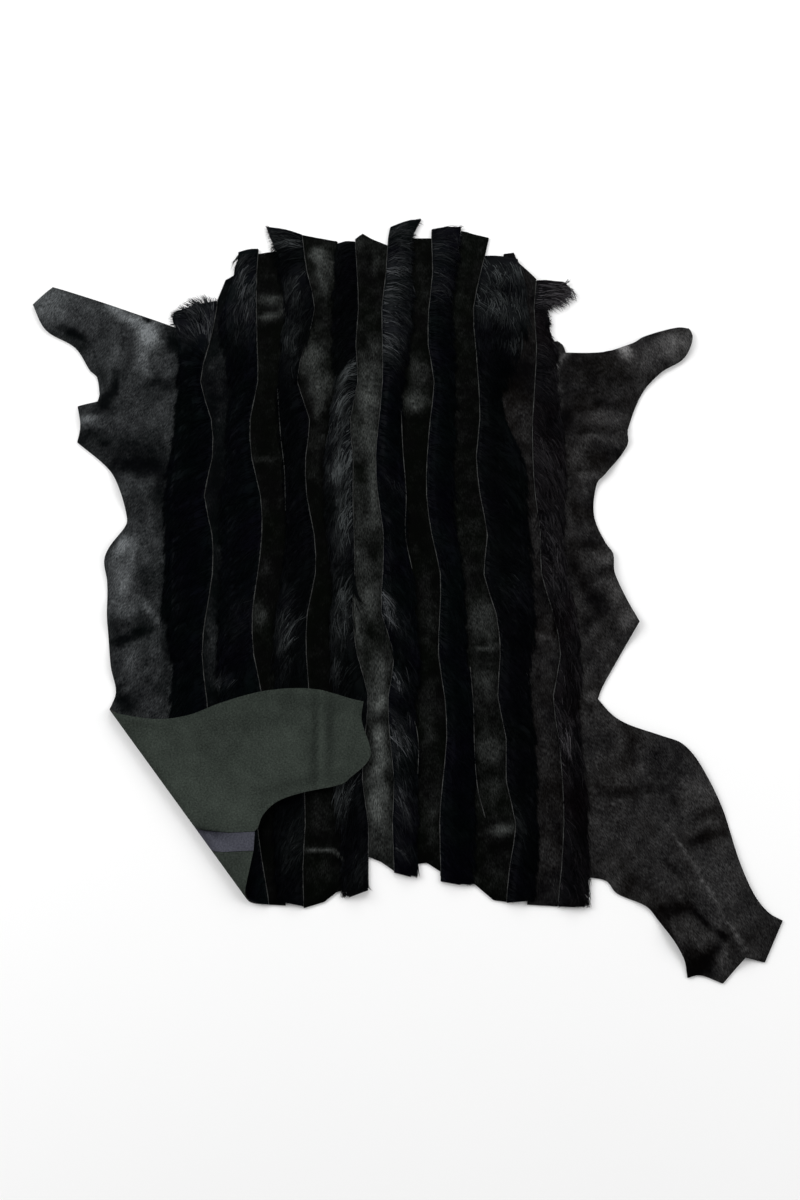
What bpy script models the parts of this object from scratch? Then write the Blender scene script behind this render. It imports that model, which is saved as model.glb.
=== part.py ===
"""A hair-on hide, pieced from long strips and laid out flat with one hind leg folded over.

Nine smooth, short-haired pieces of leather lie side by side from neck to tail. Between them run
eight narrow strips of long fur, whose hair lies outwards from the backbone and covers the edge of
the next smooth piece. The flesh side rests on the surface. The left hind leg is folded back over
the body along a slanting line, and so shows its flesh side.

Metres, +Z up, X to the right and Y towards the neck. The origin is the middle of the resting face.
"""

import math
from collections import namedtuple

import bmesh
import bpy
import numpy as np

CM = 0.01
MM = 0.001

# Driving sizes
SHEET = 3.0 * MM  # leather with its short coat pressed flat
SEAM_GAP = 0.5 * MM  # between two pieces that are sewn edge to edge
STATION_STEP = 2.5 * CM  # from one cross-section of the hide to the next
LOCKS_PER_STATION = 3  # cross-sections of the fur between two stations
NECK_STATION = 50.0 * CM
TAIL_STATION = -42.5 * CM
FLANK_CELL = 2.0 * CM  # mesh size over the two broad flanks

FOLD_START = (-32.2 * CM, -16.8 * CM)  # the two ends of the seen edge of the fold
FOLD_END = (-15.6 * CM, -38.7 * CM)
FOLD_RADIUS = 7.5 * MM  # of the flesh side round the bend
BEND_STEPS = 8
FLAP_DROP = 4.6 * MM  # how much lower the far end of the flap lies than its bend
FLAP_DROP_LENGTH = 16.0 * CM
FLAP_SAG = 1.0 * MM  # depth of the two faint creases across the flap
FLAP_SAG_WIDTH = 0.9 * CM

HAIR_CLEARANCE = 1.2 * MM  # under the hair that lies over the next piece
HAIR_TIP = 0.9 * MM  # thickness of the hair mass at its rim
HAIR_ROOT = 2.6 * MM  # height of the fur right beside its seam
LOCK_LENGTH = 5.0 * MM  # how far a lock stands out of the rim
PRESSED_HAIR = 4.9 * MM  # height of the fur that the flap lies on
PRESS_MARGIN = 1.8 * CM  # over which the fur rises again outside the flap

# The seams where the hair of each fur strip starts, across the hide at each height y
Seams = namedtuple("Seams", "y fur_1 fur_2 fur_3 fur_4 fur_5 fur_6 fur_7 fur_8")
SEAMS_CM = (
    Seams(50, -21.5, -16.4, -11.1, -4.3, 0.9, 5.8, 13.6, 19.4),
    Seams(45, -21.5, -16.4, -10.9, -4.2, 0.1, 5.6, 12.9, 19.2),
    Seams(40, -21.5, -16.6, -10.2, -3.9, -0.2, 5.7, 11.8, 18.9),
    Seams(35, -21.5, -16.5, -9.2, -3.7, -0.7, 5.2, 10.8, 18.4),
    Seams(30, -22.3, -16.3, -10.3, -4.0, -0.6, 5.1, 11.0, 18.6),
    Seams(25, -23.2, -16.1, -11.2, -3.7, -0.6, 5.8, 11.3, 18.3),
    Seams(20, -21.7, -16.9, -9.6, -4.6, -1.0, 5.3, 11.4, 17.9),
    Seams(15, -21.4, -16.6, -10.0, -4.2, -1.4, 4.9, 10.9, 17.8),
    Seams(10, -22.2, -15.4, -9.8, -4.2, -1.1, 4.8, 11.3, 18.0),
    Seams(5, -21.1, -15.1, -8.8, -4.0, -0.4, 5.4, 12.1, 18.5),
    Seams(0, -20.9, -15.5, -8.6, -3.9, -0.5, 6.4, 11.6, 18.5),
    Seams(-5, -21.5, -16.0, -9.5, -4.1, -0.6, 6.3, 13.0, 19.8),
    Seams(-10, -21.8, -15.7, -9.5, -3.5, 0.9, 6.1, 13.4, 20.5),
    Seams(-15, -21.1, -14.6, -9.1, -2.2, 0.2, 6.8, 13.0, 19.5),
    Seams(-20, -20.6, -14.6, -9.3, -2.6, 0.4, 7.0, 13.9, 20.0),
    Seams(-25, -20.2, -15.0, -9.5, -2.8, 0.9, 6.5, 13.8, 20.3),
    Seams(-30, -19.9, -14.8, -9.3, -2.1, 0.7, 6.1, 14.8, 20.3),
    Seams(-35, -20.6, -14.0, -9.5, -2.1, 0.9, 6.2, 14.0, 19.9),
    Seams(-40, -22.2, -13.1, -9.3, -2.0, 0.5, 6.0, 13.5, 19.3),
    Seams(-45, -22.2, -13.1, -9.3, -2.0, 0.5, 6.0, 13.5, 19.3),
)

# Where the tips of that hair lie, at the same heights
Rims = namedtuple("Rims", "y fur_1 fur_2 fur_3 fur_4 fur_5 fur_6 fur_7 fur_8")
RIMS_CM = (
    Rims(50, -26.0, -19.1, -16.4, -6.8, 4.7, 9.6, 15.9, 22.0),
    Rims(45, -26.0, -19.1, -15.2, -6.8, 3.3, 9.4, 16.3, 22.0),
    Rims(40, -26.4, -19.5, -13.6, -6.6, 3.2, 8.5, 17.3, 22.0),
    Rims(35, -27.1, -21.0, -13.0, -6.9, 3.3, 8.0, 17.9, 19.9),
    Rims(30, -26.4, -20.3, -13.3, -6.7, 2.8, 8.3, 16.8, 21.0),
    Rims(25, -25.9, -19.2, -13.6, -6.4, 1.8, 8.4, 14.1, 20.9),
    Rims(20, -26.1, -19.8, -13.2, -7.2, 1.5, 8.2, 14.8, 21.6),
    Rims(15, -26.7, -19.6, -12.6, -7.7, 1.9, 8.0, 17.0, 21.8),
    Rims(10, -27.0, -20.2, -12.3, -7.6, 2.4, 8.1, 17.0, 21.5),
    Rims(5, -26.7, -20.0, -12.3, -7.0, 2.3, 8.3, 17.1, 21.2),
    Rims(0, -26.7, -19.8, -12.7, -6.5, 3.2, 9.2, 17.5, 21.6),
    Rims(-5, -26.2, -19.9, -13.4, -6.7, 3.6, 9.2, 17.6, 22.4),
    Rims(-10, -25.1, -19.9, -13.3, -6.5, 3.8, 9.5, 16.6, 22.8),
    Rims(-15, -25.3, -19.6, -13.0, -6.2, 3.3, 10.0, 17.0, 22.4),
    Rims(-20, -25.0, -18.6, -13.0, -6.2, 3.7, 10.1, 17.2, 22.5),
    Rims(-25, -24.6, -18.4, -13.0, -5.9, 3.5, 10.2, 17.1, 22.9),
    Rims(-30, -24.0, -18.2, -12.8, -5.2, 3.4, 10.2, 17.4, 22.9),
    Rims(-35, -24.2, -17.4, -12.4, -4.9, 3.5, 9.6, 16.8, 22.9),
    Rims(-40, -25.2, -16.2, -11.9, -4.6, 3.5, 9.2, 16.3, 22.7),
    Rims(-45, -25.2, -16.2, -11.9, -4.6, 3.5, 9.2, 16.3, 22.7),
)

# Each fur strip: which way its hair lies (-1 to the left), the width of its leather base, the height
# of its hair, and the heights y of its ends, beside the seam (in) and under the hair (out)
Fur = namedtuple("Fur", "side base_cm hair_mm neck_in neck_out tail_in tail_out")
FUR = {
    "fur_1": Fur(-1, 2.3, 9.5, 36.1, 34.3, -38.3, -37.8),
    "fur_2": Fur(-1, 2.5, 9.0, 43.4, 42.8, -39.1, -38.9),
    "fur_3": Fur(-1, 2.0, 8.5, 45.4, 46.6, -39.3, -38.8),
    "fur_4": Fur(-1, 2.2, 11.0, 44.4, 43.9, -37.5, -38.3),
    "fur_5": Fur(1, 2.0, 10.5, 46.5, 47.3, -35.5, -36.0),
    "fur_6": Fur(1, 2.3, 8.5, 46.2, 46.5, -36.5, -36.9),
    "fur_7": Fur(1, 2.3, 9.5, 42.4, 41.8, -38.9, -38.7),
    "fur_8": Fur(1, 2.0, 9.0, 38.7, 38.7, -39.3, -39.4),
}

# Where a base widens or narrows towards its neck end: the height y and the width added there
Flare = namedtuple("Flare", "y_cm wider_cm")
FLARES = {
    "fur_3": (Flare(38, 0.0), Flare(43, 1.4), Flare(47, 2.8)),
    "fur_5": (Flare(40, 0.0), Flare(45, 0.9), Flare(48, 1.9)),
    "fur_6": (Flare(38, 0.0), Flare(44, 1.2), Flare(47, 1.5)),
    "fur_8": (Flare(29, 0.0), Flare(33, -0.6), Flare(37, -0.2)),
}

# Single tufts that stand out of a rim: the height y, how far, and half the width
Tuft = namedtuple("Tuft", "y_cm reach_cm half_cm")
TUFTS = {"fur_1": Tuft(33.5, 0.6, 2.0), "fur_8": Tuft(37.3, 2.6, 1.9)}

# Each narrow smooth strip: the fur strips on its left and right, then its neck edge from left to
# right and its tail edge from right to left. The first and last point of each edge give only a height.
Smooth = namedtuple("Smooth", "left right neck_left neck neck_right tail_right tail tail_left")
SMOOTH = {
    "smooth_1": Smooth("fur_1", "fur_2", 36.2, ((-20.5, 39.0),), 39.9, -38.8, (), -38.3),
    "smooth_2": Smooth("fur_2", "fur_3", 42.7, (), 43.1, -39.2, (), -39.1),
    "smooth_3": Smooth(
        "fur_3", "fur_4", 45.4, ((-9.0, 44.9),), 44.4, -37.3, ((-5.6, -37.7), (-7.0, -38.8)), -39.5
    ),
    "smooth_4": Smooth(
        "fur_4", "fur_5", 44.8, ((-3.2, 45.6), (-2.2, 44.9)), 43.9, -35.3, ((-0.6, -34.3),), -33.7
    ),
    "smooth_5": Smooth("fur_5", "fur_6", 44.9, (), 44.9, -35.4, ((4.6, -34.4),), -34.6),
    "smooth_6": Smooth(
        "fur_6", "fur_7", 46.0, ((11.0, 45.5),), 45.0, -38.8, ((12.1, -38.6), (10.0, -36.8)), -36.8
    ),
    "smooth_7": Smooth(
        "fur_7", "fur_8", 42.7, ((16.0, 42.9), (16.5, 41.5)), 38.9, -39.3, (), -39.1
    ),
}

# The free edge of each flank as it lies, from the neck end of its seam to the tail end
WEST_EDGE_CM = (
    (-26.5, 32.4), (-30.3, 33.7), (-36.0, 35.8), (-42.2, 37.9), (-44.6, 35.5), (-42.8, 32.1),
    (-39.0, 29.7), (-36.9, 26.5), (-36.1, 25.8), (-35.6, 23.3), (-35.8, 22.4), (-38.2, 21.7),
    (-37.7, 19.2), (-38.0, 17.0), (-34.0, 13.5), (-32.5, 10.8), (-31.5, 7.5), (-31.5, 6.2),
    (-33.8, 2.1), (-33.4, -1.0), (-33.1, -6.0), (-32.4, -11.5), (-31.7, -14.6),
)  # fmt: skip
EAST_EDGE_CM = (
    (21.2, 30.6), (21.9, 30.0), (22.2, 29.0), (27.0, 29.0), (30.5, 30.0), (32.0, 31.1),
    (36.3, 32.3), (37.7, 32.2), (38.1, 31.2), (37.6, 29.3), (36.6, 27.9), (34.0, 26.3),
    (31.5, 23.5), (29.5, 18.5), (29.4, 16.6), (26.5, 12.7), (25.5, 11.6), (25.0, 7.5),
    (26.3, 3.8), (27.1, 2.5), (27.2, 0.0), (29.0, -4.2), (29.9, -6.0), (27.5, -10.0),
    (25.2, -14.0), (24.7, -15.3), (26.3, -17.3), (28.0, -18.4), (32.0, -19.8), (34.3, -20.7),
    (36.3, -23.3), (38.6, -28.5), (40.0, -34.0), (41.5, -38.0), (43.0, -40.0), (44.6, -40.9),
    (42.3, -45.5), (40.1, -45.0), (37.5, -47.8), (35.0, -46.9), (33.6, -47.2), (33.2, -45.0),
    (30.5, -40.7), (29.3, -39.3), (26.0, -37.8), (25.0, -36.5), (23.4, -36.1),
)  # fmt: skip
WEST_NECK = 31.6 * CM  # heights of the flanks' ends on their seams
WEST_TAIL = -37.75 * CM
EAST_NECK = 30.4 * CM
EAST_TAIL = -36.1 * CM

# The folded leg's edge as it lies, flesh side up, from the start of the fold round to the fur strip
FLAP_EDGE_CM = (
    (-32.2, -16.8), (-30.5, -17.5), (-26.5, -18.0), (-23.0, -17.5), (-19.0, -15.9),
    (-14.0, -14.5), (-8.5, -14.3), (-4.0, -15.5), (-2.7, -15.8), (-2.9, -18.0), (-1.8, -21.8),
    (-2.4, -23.2), (-4.2, -24.8), (-5.0, -25.5), (-9.5, -26.5), (-12.5, -27.6), (-14.1, -29.2),
    (-14.6, -30.6),
)  # fmt: skip
# The rest of the turned-over part, past the leg: the ends of one fur strip and one smooth strip
FLAP_TAIL_CM = ((-15.0, -33.3), (-15.5, -38.6))
FLAP_CREASES_CM = (-8.3, -6.6)  # x of the two faint creases

# Soft folds that stand off the surface: the ends of each ridge, its half width and its height
Ridge = namedtuple("Ridge", "x0 y0 x1 y1 half_cm high_mm")
RIDGES = (
    Ridge(-41.5, 35.2, -31.0, 31.2, 2.4, 7.0),
    Ridge(-33.0, 26.5, -32.4, 21.0, 1.7, 6.5),
    Ridge(-37.0, 20.2, -35.4, 19.0, 1.3, 5.0),
    Ridge(-32.5, 17.2, -29.0, 16.2, 1.7, 4.5),
    Ridge(-32.5, 10.6, -29.0, 10.8, 1.8, 5.5),
    Ridge(-32.0, 2.8, -29.8, -0.5, 2.2, 6.0),
    Ridge(-32.0, -5.1, -28.4, -4.8, 1.5, 6.5),
    Ridge(-31.5, -11.2, -28.8, -10.8, 1.7, 4.0),
    Ridge(30.8, 27.3, 36.2, 30.3, 2.0, 6.0),
    Ridge(28.4, 27.0, 29.8, 30.0, 1.4, 4.5),
    Ridge(24.6, 25.4, 26.5, 27.0, 1.8, 4.0),
    Ridge(24.4, 18.3, 28.0, 17.6, 1.5, 5.0),
    Ridge(25.2, 12.7, 27.0, 13.2, 1.4, 3.5),
    Ridge(25.8, 2.2, 26.8, -1.6, 1.6, 5.0),
    Ridge(27.0, -5.2, 28.8, -6.0, 1.9, 5.5),
    Ridge(26.2, -19.0, 31.5, -21.2, 2.0, 5.0),
    Ridge(25.8, -25.6, 31.0, -25.2, 1.5, 5.0),
    Ridge(27.0, -29.3, 32.4, -28.4, 1.6, 4.0),
    Ridge(34.4, -23.2, 36.0, -27.6, 1.9, 5.0),
    Ridge(32.5, -32.0, 39.6, -43.8, 1.5, 8.0),
    Ridge(38.0, -33.5, 41.2, -40.4, 1.7, 4.0),
    Ridge(30.4, -37.4, 33.0, -37.2, 1.6, 6.5),
    Ridge(33.4, -42.6, 35.6, -43.6, 2.0, 9.0),
    Ridge(-8.8, 42.6, -8.0, 37.0, 2.0, 4.0),
    Ridge(-9.0, 28.6, -8.4, 23.0, 2.2, 4.5),
    Ridge(13.2, 39.2, 17.6, 38.6, 1.9, 6.0),
    Ridge(13.8, 34.4, 17.0, 34.0, 1.8, 4.0),
)

# Finishes: colour, roughness
Finish = namedtuple("Finish", "colour roughness")
SHORT_COAT = Finish((0.020, 0.021, 0.023), 0.55)
LONG_FUR = Finish((0.011, 0.011, 0.014), 0.60)
FLESH_SIDE = Finish((0.100, 0.106, 0.100), 0.90)
FUR_BACK = Finish((0.190, 0.185, 0.200), 0.90)

STATIONS = np.arange(NECK_STATION, TAIL_STATION, -STATION_STEP)
LOCK_STEP = STATION_STEP / LOCKS_PER_STATION


def smooth_step(share):
    """From 0 to 1 with level ends."""
    share = min(max(share, 0.0), 1.0)
    return share * share * (3.0 - 2.0 * share)


def through_points(ys, xs, y):
    """The smooth curve x(y) through points that are listed from the neck down."""
    steps = np.arange(len(ys) - 1)
    k = int(np.clip(np.searchsorted(-np.asarray(ys), -y, side="right") - 1, 0, steps[-1]))
    share = (y - ys[k]) / (ys[k + 1] - ys[k])
    before = xs[max(k - 1, 0)]
    after = xs[min(k + 2, len(xs) - 1)]
    first = (xs[k + 1] - before) / 2
    last = (after - xs[k]) / 2
    a = 2 * xs[k] - 2 * xs[k + 1] + first + last
    b = 3 * (xs[k + 1] - xs[k]) - 2 * first - last
    return ((a * share + b) * share + first) * share + xs[k]


def charted(table, strip):
    """The charted line of a strip at each station, in metres."""
    ys = [row.y * CM for row in table]
    xs = [getattr(row, strip) * CM for row in table]
    return np.array([through_points(ys, xs, y) for y in STATIONS])


SEAM_LINES = {strip: charted(SEAMS_CM, strip) for strip in FUR}
RIM_LINES = {strip: charted(RIMS_CM, strip) for strip in FUR}


def base_width(strip, y):
    wider = 0.0
    if strip in FLARES:
        flare = FLARES[strip]
        wider = float(np.interp(y, [f.y_cm * CM for f in flare], [f.wider_cm * CM for f in flare]))
    return FUR[strip].base_cm * CM + wider


OUTER_LINES = {
    strip: SEAM_LINES[strip] + FUR[strip].side * np.array([base_width(strip, y) for y in STATIONS])
    for strip in FUR
}


def line_at(line, y):
    """A line's x at any height, straight from station to station, so that neighbours match."""
    return float(np.interp(y, STATIONS[::-1], line[::-1]))


def seam_left_of(strip, y):
    """The left edge of a fur strip's base."""
    lines = SEAM_LINES if FUR[strip].side > 0 else OUTER_LINES
    return line_at(lines[strip], y)


def seam_right_of(strip, y):
    """The right edge of a fur strip's base."""
    lines = OUTER_LINES if FUR[strip].side > 0 else SEAM_LINES
    return line_at(lines[strip], y)


# The fold: its direction along the seen edge, the inward normal, and a point of the line where the
# bend begins, one bend radius inside that edge
FOLD_LENGTH = math.dist(FOLD_START, FOLD_END)
FOLD_ALONG = (
    (FOLD_END[0] - FOLD_START[0]) / FOLD_LENGTH,
    (FOLD_END[1] - FOLD_START[1]) / FOLD_LENGTH,
)
FOLD_INWARD = (-FOLD_ALONG[1], FOLD_ALONG[0])
FOLD_POINT = (
    FOLD_START[0] + FOLD_RADIUS * FOLD_INWARD[0],
    FOLD_START[1] + FOLD_RADIUS * FOLD_INWARD[1],
)
BEND_LENGTH = math.pi * FOLD_RADIUS
FLAP_OUTLINE = [(x * CM, y * CM) for x, y in FLAP_EDGE_CM + FLAP_TAIL_CM]


def beyond_fold(x, y):
    """How far a point lies outside the line where the bend begins."""
    return (FOLD_POINT[0] - x) * FOLD_INWARD[0] + (FOLD_POINT[1] - y) * FOLD_INWARD[1]


def unfolded(x, y):
    """The place on the flat pattern of a point of the turned-over part as it lies."""
    inside = -beyond_fold(x, y)
    if inside >= 0:
        along = BEND_LENGTH + inside
    else:
        along = FOLD_RADIUS * (math.pi - math.asin(min(-inside / FOLD_RADIUS, 1.0)))
    shift = -inside - along
    return x + shift * FOLD_INWARD[0], y + shift * FOLD_INWARD[1]


def distance_to_segment(x, y, x0, y0, x1, y1):
    run = (x1 - x0, y1 - y0)
    share = ((x - x0) * run[0] + (y - y0) * run[1]) / (run[0] ** 2 + run[1] ** 2)
    share = min(max(share, 0.0), 1.0)
    return math.hypot(x - x0 - share * run[0], y - y0 - share * run[1])


def under_flap(x, y):
    """1 under the folded leg, falling to 0 a little way outside it."""
    inside = False
    nearest = PRESS_MARGIN
    for (x0, y0), (x1, y1) in zip(FLAP_OUTLINE, FLAP_OUTLINE[1:] + FLAP_OUTLINE[:1]):
        nearest = min(nearest, distance_to_segment(x, y, x0, y0, x1, y1))
        if (y0 > y) != (y1 > y) and x < x0 + (y - y0) / (y1 - y0) * (x1 - x0):
            inside = not inside
    if inside or beyond_fold(x, y) > 0:
        return 1.0
    return smooth_step(1.0 - nearest / PRESS_MARGIN)


def lift(x, y):
    """The height of the flesh side over the surface, where soft folds stand off it."""
    height = 0.0
    for ridge in RIDGES:
        away = distance_to_segment(
            x, y, ridge.x0 * CM, ridge.y0 * CM, ridge.x1 * CM, ridge.y1 * CM
        )
        height += ridge.high_mm * MM * smooth_step(1.0 - away / (2.0 * ridge.half_cm * CM))
    return height * (1.0 - under_flap(x, y))


def flap_height(x, y, along):
    """The height of the flesh side of the flap: highest by the bend, lower towards its far end."""
    height = 2 * FOLD_RADIUS - FLAP_DROP * smooth_step(along / FLAP_DROP_LENGTH)
    for crease in FLAP_CREASES_CM:
        away = abs(x - crease * CM) / FLAP_SAG_WIDTH
        height -= FLAP_SAG * smooth_step(1.0 - away) * smooth_step(along / FLAP_DROP_LENGTH)
    return height


def lay(x, y, height):
    """Moves a point of the flat pattern, a height above the flesh side, to where it lies."""
    beyond = beyond_fold(x, y)
    if beyond <= 0:
        return x, y, lift(x, y) + height
    foot = (x + beyond * FOLD_INWARD[0], y + beyond * FOLD_INWARD[1])
    if beyond < BEND_LENGTH:
        angle = beyond / FOLD_RADIUS
        out = (FOLD_RADIUS - height) * math.sin(angle)
        z = FOLD_RADIUS - (FOLD_RADIUS - height) * math.cos(angle)
    else:
        out = BEND_LENGTH - beyond
        where = (foot[0] - out * FOLD_INWARD[0], foot[1] - out * FOLD_INWARD[1])
        z = flap_height(where[0], where[1], -out) - height
    return foot[0] - out * FOLD_INWARD[0], foot[1] - out * FOLD_INWARD[1], z


def cut_along(mesh, point, normal):
    """Gives every face that crosses a plane an edge there."""
    geometry = mesh.verts[:] + mesh.edges[:] + mesh.faces[:]
    bmesh.ops.bisect_plane(mesh, geom=geometry, dist=1e-7, plane_co=point, plane_no=normal)


def cut_at_fold(mesh):
    """Edges along the bend, so that it turns in even steps."""
    for step in range(BEND_STEPS + 1):
        out = step * BEND_LENGTH / BEND_STEPS
        point = (FOLD_POINT[0] - out * FOLD_INWARD[0], FOLD_POINT[1] - out * FOLD_INWARD[1], 0)
        cut_along(mesh, point, (FOLD_INWARD[0], FOLD_INWARD[1], 0))


def finish_piece(name, mesh, collection, finishes):
    """Lays the flat piece out in its folds, and gives it its materials: coat first, then flesh side."""
    for face in mesh.faces:
        face.material_index = int(all(corner.co.z < 0.1 * MM for corner in face.verts))
    bmesh.ops.triangulate(mesh, faces=mesh.faces[:])
    for corner in mesh.verts:
        corner.co = lay(*corner.co)
    bmesh.ops.recalc_face_normals(mesh, faces=mesh.faces[:])
    data = bpy.data.meshes.new(name)
    mesh.to_mesh(data)
    mesh.free()
    for suffix, finish in finishes:
        material = bpy.data.materials.new(f"{name}_{suffix}")
        material.use_nodes = True
        shader = material.node_tree.nodes["Principled BSDF"]
        shader.inputs["Base Color"].default_value = (*finish.colour, 1)
        shader.inputs["Roughness"].default_value = finish.roughness
        shader.inputs["Metallic"].default_value = 0.0
        data.materials.append(material)
    piece = bpy.data.objects.new(name, data)
    collection.objects.link(piece)
    return piece


def make_sheet(name, outline, cell, collection):
    """A leather piece cut to an outline on the flat pattern."""
    mesh = bmesh.new()
    mesh.faces.new([mesh.verts.new((x, y, 0)) for x, y in outline])
    xs = [x for x, _ in outline]
    ys = [y for _, y in outline]
    for y in STATIONS:
        if min(ys) < y < max(ys):
            cut_along(mesh, (0, y, 0), (0, 1, 0))
    if cell:
        for k in range(math.ceil(min(xs) / cell), math.floor(max(xs) / cell) + 1):
            cut_along(mesh, (k * cell, 0, 0), (1, 0, 0))
    cut_at_fold(mesh)
    grown = bmesh.ops.extrude_face_region(mesh, geom=mesh.faces[:])
    top = [item for item in grown["geom"] if isinstance(item, bmesh.types.BMVert)]
    bmesh.ops.translate(mesh, verts=top, vec=(0, 0, SHEET))
    return finish_piece(name, mesh, collection, (("coat", SHORT_COAT), ("flesh", FLESH_SIDE)))


def down_a_seam(edge, strip, neck, tail, shift):
    """The points of one side of a piece along a seam, from its neck end to its tail end."""
    inner = [y for y in STATIONS if tail + 0.3 * CM < y < neck - 0.3 * CM]
    return [(edge(strip, y) + shift, y) for y in [neck, *inner, tail]]


def make_smooth_strip(name, collection):
    strip = SMOOTH[name]
    half = SEAM_GAP / 2
    left = down_a_seam(seam_right_of, strip.left, strip.neck_left * CM, strip.tail_left * CM, half)
    right = down_a_seam(
        seam_left_of, strip.right, strip.neck_right * CM, strip.tail_right * CM, -half
    )
    neck = [(x * CM, y * CM) for x, y in strip.neck]
    tail = [(x * CM, y * CM) for x, y in strip.tail]
    return make_sheet(name, left[::-1] + neck + right + tail, None, collection)


def make_west_flank(collection):
    """The left flank, with its foreleg and, turned over the fold, its hind leg."""
    seam = down_a_seam(seam_left_of, "fur_1", WEST_NECK, WEST_TAIL, -SEAM_GAP / 2)
    free = [(x * CM, y * CM) for x, y in WEST_EDGE_CM]
    leg = [unfolded(x * CM, y * CM) for x, y in FLAP_EDGE_CM]
    return make_sheet("west_flank", seam[::-1] + free + leg, FLANK_CELL, collection)


def make_east_flank(collection):
    """The right flank, with its foreleg and its hind leg."""
    seam = down_a_seam(seam_right_of, "fur_8", EAST_NECK, EAST_TAIL, SEAM_GAP / 2)
    free = [(x * CM, y * CM) for x, y in EAST_EDGE_CM]
    return make_sheet("east_flank", free + seam[::-1], FLANK_CELL, collection)


def rim_at(strip, y):
    """Where the tips of the hair lie, with the strip's single tuft."""
    rim = line_at(RIM_LINES[strip], y)
    if strip in TUFTS:
        tuft = TUFTS[strip]
        share = smooth_step(1.0 - abs(y - tuft.y_cm * CM) / (tuft.half_cm * CM))
        rim += FUR[strip].side * tuft.reach_cm * CM * share
    return rim


def fur_section(strip, y_in, y_out, count, end):
    """One section of the slab of hair: under the base, out under the overhang, back over the top.

    end is 1 or -1 at the neck or tail end, where the locks run on past the leather, else 0.
    """
    fur = FUR[strip]
    half = SEAM_GAP / 2
    seam = line_at(SEAM_LINES[strip], y_in) + fur.side * half
    outer = line_at(OUTER_LINES[strip], y_out) - fur.side * half
    long_lock = count % 2
    lock = LOCK_LENGTH * (0.55 + 0.45 * math.sin(2.3 * count)) * (1 if long_lock else -0.4)
    rim = rim_at(strip, y_out) + fur.side * lock
    if (rim - outer) * fur.side < 2.5 * MM:
        rim = outer + fur.side * 2.5 * MM
    pressed = under_flap(outer, y_out)
    lump = 1.0 + 0.16 * math.sin(1.9 * count) + 0.12 * math.sin(0.73 * count + fur.hair_mm)
    crest = fur.hair_mm * MM * lump * (1.0 - pressed) + PRESSED_HAIR * pressed
    under = SHEET + HAIR_CLEARANCE * (1.0 - 0.5 * pressed)
    root = HAIR_ROOT * (1.0 + 0.2 * math.sin(2.9 * count))
    past = end * LOCK_LENGTH
    middle = seam + 0.5 * (rim - seam)
    y_middle = 0.5 * (y_in + y_out)
    return (
        (seam, y_in, 0.0),
        (outer, y_out, 0.0),
        (outer, y_out, under),
        (rim, y_out + past, under + HAIR_TIP * (1.0 - 0.3 * pressed)),
        (middle, y_middle + past, crest),
        (seam, y_in, root),
    )


def make_fur_strip(name, collection):
    """A lumpy slab of hair on its leather base, with locks along its rim and at its ends."""
    fur = FUR[name]
    neck = (fur.neck_in * CM, fur.neck_out * CM)
    tail = (fur.tail_in * CM, fur.tail_out * CM)
    fine = np.arange(NECK_STATION, TAIL_STATION, -LOCK_STEP)
    inner = [y for y in fine if max(tail) + LOCK_STEP < y < min(neck) - LOCK_STEP]
    rows = [(neck, 1)] + [((y, y), 0) for y in inner] + [(tail, -1)]
    mesh = bmesh.new()
    rings = []
    for (y_in, y_out), end in rows:
        count = round((NECK_STATION - y_in) / LOCK_STEP)
        section = fur_section(name, y_in, y_out, count, end)
        rings.append([mesh.verts.new(point) for point in section])
    for first, second in zip(rings, rings[1:]):
        for k in range(len(first)):
            j = (k + 1) % len(first)
            mesh.faces.new((first[k], first[j], second[j], second[k]))
    mesh.faces.new(rings[0][::-1])
    mesh.faces.new(rings[-1])
    bmesh.ops.recalc_face_normals(mesh, faces=mesh.faces[:])
    bmesh.ops.triangulate(mesh, faces=mesh.faces[:])
    cut_at_fold(mesh)
    return finish_piece(name, mesh, collection, (("hair", LONG_FUR), ("back", FUR_BACK)))


def main():
    for old in list(bpy.data.objects):
        bpy.data.objects.remove(old)
    collection = bpy.data.collections.new("hair_on_hide")
    bpy.context.scene.collection.children.link(collection)
    make_west_flank(collection)
    make_east_flank(collection)
    for name in SMOOTH:
        make_smooth_strip(name, collection)
    for name in FUR:
        make_fur_strip(name, collection)


main()
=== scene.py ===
"""The looks of a hair-on hide that is pieced from smooth strips and strips of long fur.

Every leather piece is a thin sheet that is cut flat and then laid in the folds of the frame, with one
hind leg turned over. The long fur is a soft slab of hair under thousands of tapered hairs, gathered
into locks. Stitched welts run down the seams, and thin pale edges show beside some of the fur.

Metres, +Z up, X to the right and Y towards the neck.
"""

import logging
import math
from collections.abc import Callable, Sequence
from dataclasses import dataclass, field
from enum import Enum
from functools import cache

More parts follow.
